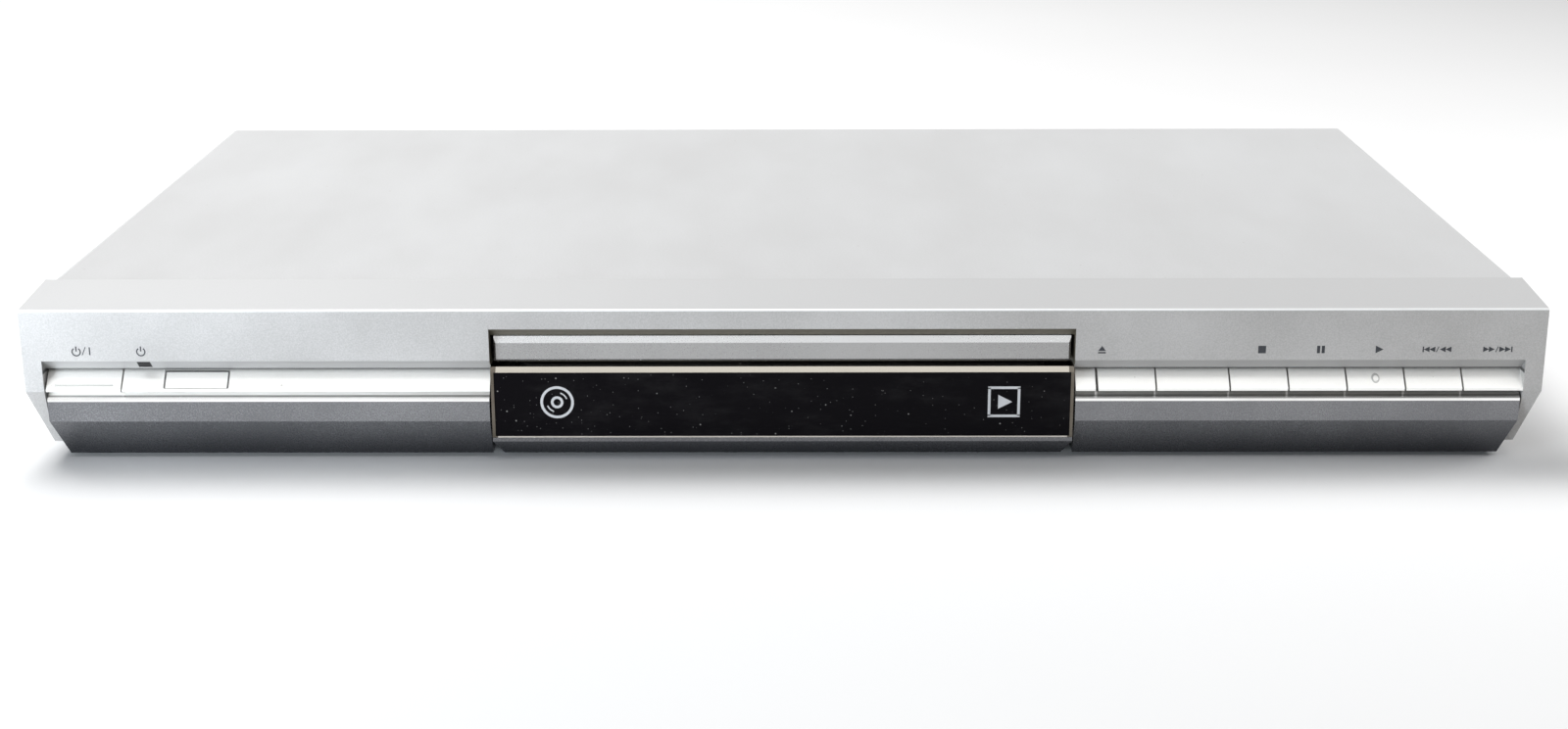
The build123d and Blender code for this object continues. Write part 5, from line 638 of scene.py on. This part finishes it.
def front_symbols():
    """The usual marks of a player's keys, printed over them on the front."""
    plane = (FACE_Y - PRINT_LIFT) / MM
    half = SYMBOL / 2
    low = SYMBOL_Z - half
    small = SKIP_SYMBOL
    arrow_foot = low + EJECT_BAR + EJECT_GAP
    marks = [
        bar(EJECT_X, low + EJECT_BAR / 2, SYMBOL, EJECT_BAR, plane),
        arrow((EJECT_X, arrow_foot), (EJECT_X, low + SYMBOL), SYMBOL, plane),
        bar(middle_x("stop_button"), SYMBOL_Z, SYMBOL, SYMBOL, plane),
    ]
    pause = middle_x("pause_button")
    for side in (-1, 1):
        x = pause + side * PAUSE_REACH * SYMBOL
        marks.append(bar(x, SYMBOL_Z, PAUSE_BAR * SYMBOL, SYMBOL, plane))
    play = middle_x("play_button")
    marks.append(arrow((play - half, SYMBOL_Z), (play + half, SYMBOL_Z), SYMBOL, plane))
    for way, key in ((-1, "skip_back_button"), (1, "skip_forward_button")):
        x = middle_x(key)
        for place in SKIP_ARROW_XS:
            foot = x + place - way * small / 2
            marks.append(arrow((foot, SYMBOL_Z), (foot + way * small, SYMBOL_Z), small, plane))
        slash = [(x + aside, SYMBOL_Z + up * small / 2) for aside, up in zip(SLASH_XS, (-1, 1))]
        marks.append(stroke(slash, LINE / 3, plane))
        marks.append(bar(x + way * SKIP_BAR_X, SYMBOL_Z, LINE, small, plane))
    for x in STANDBY_XS:
        marks.append(ring(x, SYMBOL_Z - STANDBY_DROP, STANDBY_RADIUS, *STANDBY_ARC, plane))
        marks.append(bar(x, SYMBOL_Z + STANDBY_BAR_RISE, LINE, STANDBY_BAR, plane))
    x = STANDBY_XS[0]
    foot, top = (x + aside for aside in ON_SLASH_XS)
    marks.append(stroke([(foot, low - 2 * ON_DROP), (top, low + SYMBOL)], LINE / 3, plane))
    marks.append(bar(x + ON_BAR_X, SYMBOL_Z - ON_DROP, LINE, SYMBOL + ON_DROP, plane))
    piece("front_symbols", marks, print_ink, "case", smooth=False)


def window_marks():
    """Two plain marks printed on the window: a disc, and a play arrow in a frame."""
    plane = (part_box("display_window")[0].y - PRINT_LIFT) / MM
    x, z, radius = DISC_MARK
    marks = [ring(x, z, radius * share, 0, 360, plane, 2 * LINE) for share in (1.0, DISC_HUB)]
    for start in GLINT_STARTS:
        marks.append(ring(x, z, radius * DISC_GLINT, start, start + GLINT_ARC, plane))
    x, z, half = PLAY_MARK
    for side in (-1, 1):
        marks.append(bar(x, z + side * half, 2 * half + 2 * LINE, 2 * LINE, plane))
        marks.append(bar(x + side * half, z, 2 * LINE, 2 * half, plane))
    marks.append(arrow((x - half * PLAY_FOOT, z), (x + half * PLAY_TIP, z), half, plane))
    piece("window_marks", marks, pale_ink, "case", smooth=False)


def screw_head(place, out, side):
    """A domed head with a cross recess: height over radius and angle, less the two arms of the cross."""
    radius = np.concatenate([np.linspace(0.0, 1.0, 30), [1.0]]) * HEAD_RADIUS
    angle = np.linspace(0, 2 * pi, 96, endpoint=False)
    across, up = np.outer(radius, np.cos(angle)), np.outer(radius, np.sin(angle))
    dome = HEAD_HEIGHT * (1 - HEAD_DOME * (radius / HEAD_RADIUS) ** 4)[:, None]
    dome[-1] = 0.0

    def within(value, limit):
        return np.clip((limit - np.abs(value)) / CROSS_SLOPE, 0, 1)

    arms = [within(a, CROSS_HALF) * within(b, CROSS_ARM) for a, b in ((across, up), (up, across))]
    height = dome - CROSS_DEEP * np.maximum(*arms)
    turned = np.cross(out, side)
    return place + across[..., None] * side + up[..., None] * turned + height[..., None] * out


def cover_screw_heads():
    """The cover's screws, three in the rear lip and two in each side, with recessed heads."""
    low, high = (np.array(corner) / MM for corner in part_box("cover_screws"))
    back_z = high[2] - HEAD_RADIUS
    side_z = low[2] + HEAD_RADIUS
    rear = high[1] - HEAD_HEIGHT
    rear_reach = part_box("top_cover")[1].x / MM - REAR_SCREW_IN
    heads = [screw_head(np.array([x, rear, back_z]), np.array([0.0, 1, 0]), np.array([1.0, 0, 0]))
             for x in (-rear_reach, 0.0, rear_reach)]
    for way in (-1.0, 1.0):
        for y in SIDE_SCREW_YS:
            heads.append(screw_head(np.array([way * (high[0] - HEAD_HEIGHT), y, side_z]),
                                    np.array([way, 0, 0]), np.array([0, 1.0, 0])))
    made = piece("cover_screw_heads", heads, screw_black, "case", round_trip=True)
    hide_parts("cover_screws")


def threaded_feed():
    """The feed screw: its radius dips with the angle less the turns made along it, one a lead."""
    joint = next(j for j in frame["record"]["behaviour"]["joints"] if j["name"] == "feed_screw_turn")
    foot = np.array(joint["pos_m"]) / MM
    axis = np.array(joint["axis"], float)
    low, high = (np.array(corner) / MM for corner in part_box("feed_screw"))
    length = (high[1] - low[1] - 2 * FEED_RADIUS * axis[2]) / axis[1]
    along = np.linspace(0, length, int(length / FEED_LEAD * 14))[:, None]
    angle = np.linspace(0, 2 * pi, 28, endpoint=False)[None, :]
    turns = along / FEED_LEAD - angle / (2 * pi)
    wave = np.abs(2 * (turns - np.floor(turns)) - 1)
    depth = FEED_DEPTH * np.clip(wave * FLANK_SLOPE - FLANK_START, 0, 1)
    depth = depth * np.clip(np.minimum(along, length - along) - FEED_PLAIN, 0, 1)
    radius = FEED_RADIUS - depth
    radius[[0, -1]] = 0.0
    up = np.array([0.0, -axis[2], axis[1]])
    right = np.array([1.0, 0, 0])
    grid = (foot + along[..., None] * axis + (radius * np.cos(angle))[..., None] * right
            + (radius * np.sin(angle))[..., None] * up)
    made = piece("threaded_feed", [grid[::-1]], machined_steel, "feed_screw",
                 round_trip=True)
    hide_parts("feed_screw")


def socket_rings():
    """Coloured rings round the sockets at the back: a square section carried round each barrel."""
    low, high = (np.array(corner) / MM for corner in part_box("phono_sockets"))
    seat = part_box("rear_panel")[1].y / MM
    columns = np.linspace(low[0] + SOCKET_RADIUS, high[0] - SOCKET_RADIUS, SOCKET_COLUMNS)
    rows = (high[2] - SOCKET_RADIUS, low[2] + SOCKET_RADIUS)
    inner = SOCKET_RADIUS + RING_PLAY
    outer = inner + RING_WIDTH
    section = np.array([(inner, 0.0), (inner, RING_THICK), (outer - RING_EDGE, RING_THICK),
                        (outer, RING_THICK - RING_EDGE), (outer, 0.0), (inner, 0.0)])
    radius, out = section[:, :1], section[:, 1:]
    angle = np.linspace(0, 2 * pi, 48, endpoint=False)
    for colour, finish in RING_FINISHES.items():
        grids = []
        for row, z in enumerate(rows):
            for column, x in enumerate(columns):
                if RING_COLOURS[row][column] == colour:
                    grids.append(np.stack([x + radius * np.cos(angle), seat + out + 0 * angle,
                                           z + radius * np.sin(angle)], axis=-1))
        piece(f"socket_rings_{colour}", grids, finish, "case",
              round_trip=True, smooth=False)


front_symbols()
window_marks()
cover_screw_heads()
threaded_feed()
socket_rings()


# ======================================================================================
# Floor, light and background
# ======================================================================================
def backdrop():
    """A pale floor with a faint cloud in its tone, shaded where the object stands over it."""
    finish = Finish("floor", Roughness=0.75, Specular_IOR_Level=0.0)
    cloud = finish.noise(3.0, 3.0, 0.5)
    finish.feed("Base Color", finish.mix(finish.step(cloud, 0.3, 0.7), grey(0.95), grey(0.97)))
    half = FLOOR_HALF
    corners = [(-half, -half, 0), (half, -half, 0), (half, half, 0), (-half, half, 0)]
    mesh = bpy.data.meshes.new("floor")
    mesh.from_pydata(corners, [], [(0, 1, 2, 3)])
    mesh.materials.append(finish.material)
    floor = bpy.data.objects.new("floor", mesh)
    bpy.context.scene.collection.objects.link(floor)


def soft_light(name, place, target, size, power, colour=(1.0, 1.0, 1.0)):
    """A rectangular soft lamp aimed at a point."""
    data = bpy.data.lights.new(name, "AREA")
    data.shape = "RECTANGLE"
    data.size, data.size_y = size
    data.energy = power
    data.color = colour
    lamp = bpy.data.objects.new(name, data)
    bpy.context.scene.collection.objects.link(lamp)
    lamp.location = place
    aim = (Matrix.Translation(target).translation - lamp.location).normalized()
    lamp.rotation_euler = aim.to_track_quat("-Z", "Y").to_euler()


def surroundings():
    """An even studio: the world is white to the camera and in gloss, and a dimmer fill elsewhere."""
    world = bpy.data.worlds.new("studio")
    bpy.context.scene.world = world
    world.use_nodes = True
    tree = world.node_tree
    sky = tree.nodes["Background"]
    sky.inputs["Color"].default_value = grey(1.0)
    path = tree.nodes.new("ShaderNodeLightPath")
    seen = path.outputs["Is Camera Ray"]
    for kind in ("Is Glossy Ray", "Is Transmission Ray"):
        either = tree.nodes.new("ShaderNodeMath")
        either.operation = "MAXIMUM"
        tree.links.new(seen, either.inputs[0])
        tree.links.new(path.outputs[kind], either.inputs[1])
        seen = either.outputs[0]
    level = tree.nodes.new("ShaderNodeMapRange")
    tree.links.new(seen, level.inputs["Value"])
    level.inputs["To Min"].default_value = FILL_LIGHT
    level.inputs["To Max"].default_value = 1.0
    tree.links.new(level.outputs[0], sky.inputs["Strength"])


backdrop()
surroundings()
soft_light("key_lamp", place=(-0.55, 0.6, 1.45), target=(0, 0, 0.02), size=(1.0, 1.0), power=26.5)
soft_light("right_lamp", place=(0.8, -0.05, 0.5), target=(0.25, -0.08, 0), size=(0.5, 0.4), power=2.5)
soft_light("strip_lamp", place=(0.0, -0.62, 1.3), target=(0, -0.12, 0.03), size=(1.5, 0.2), power=1.0)
soft_light("left_lamp", place=(-0.62, -0.62, 0.07), target=(-0.25, -0.12, 0.03), size=(0.3, 0.1),
           power=6.2, colour=(0.84, 0.92, 1.0))
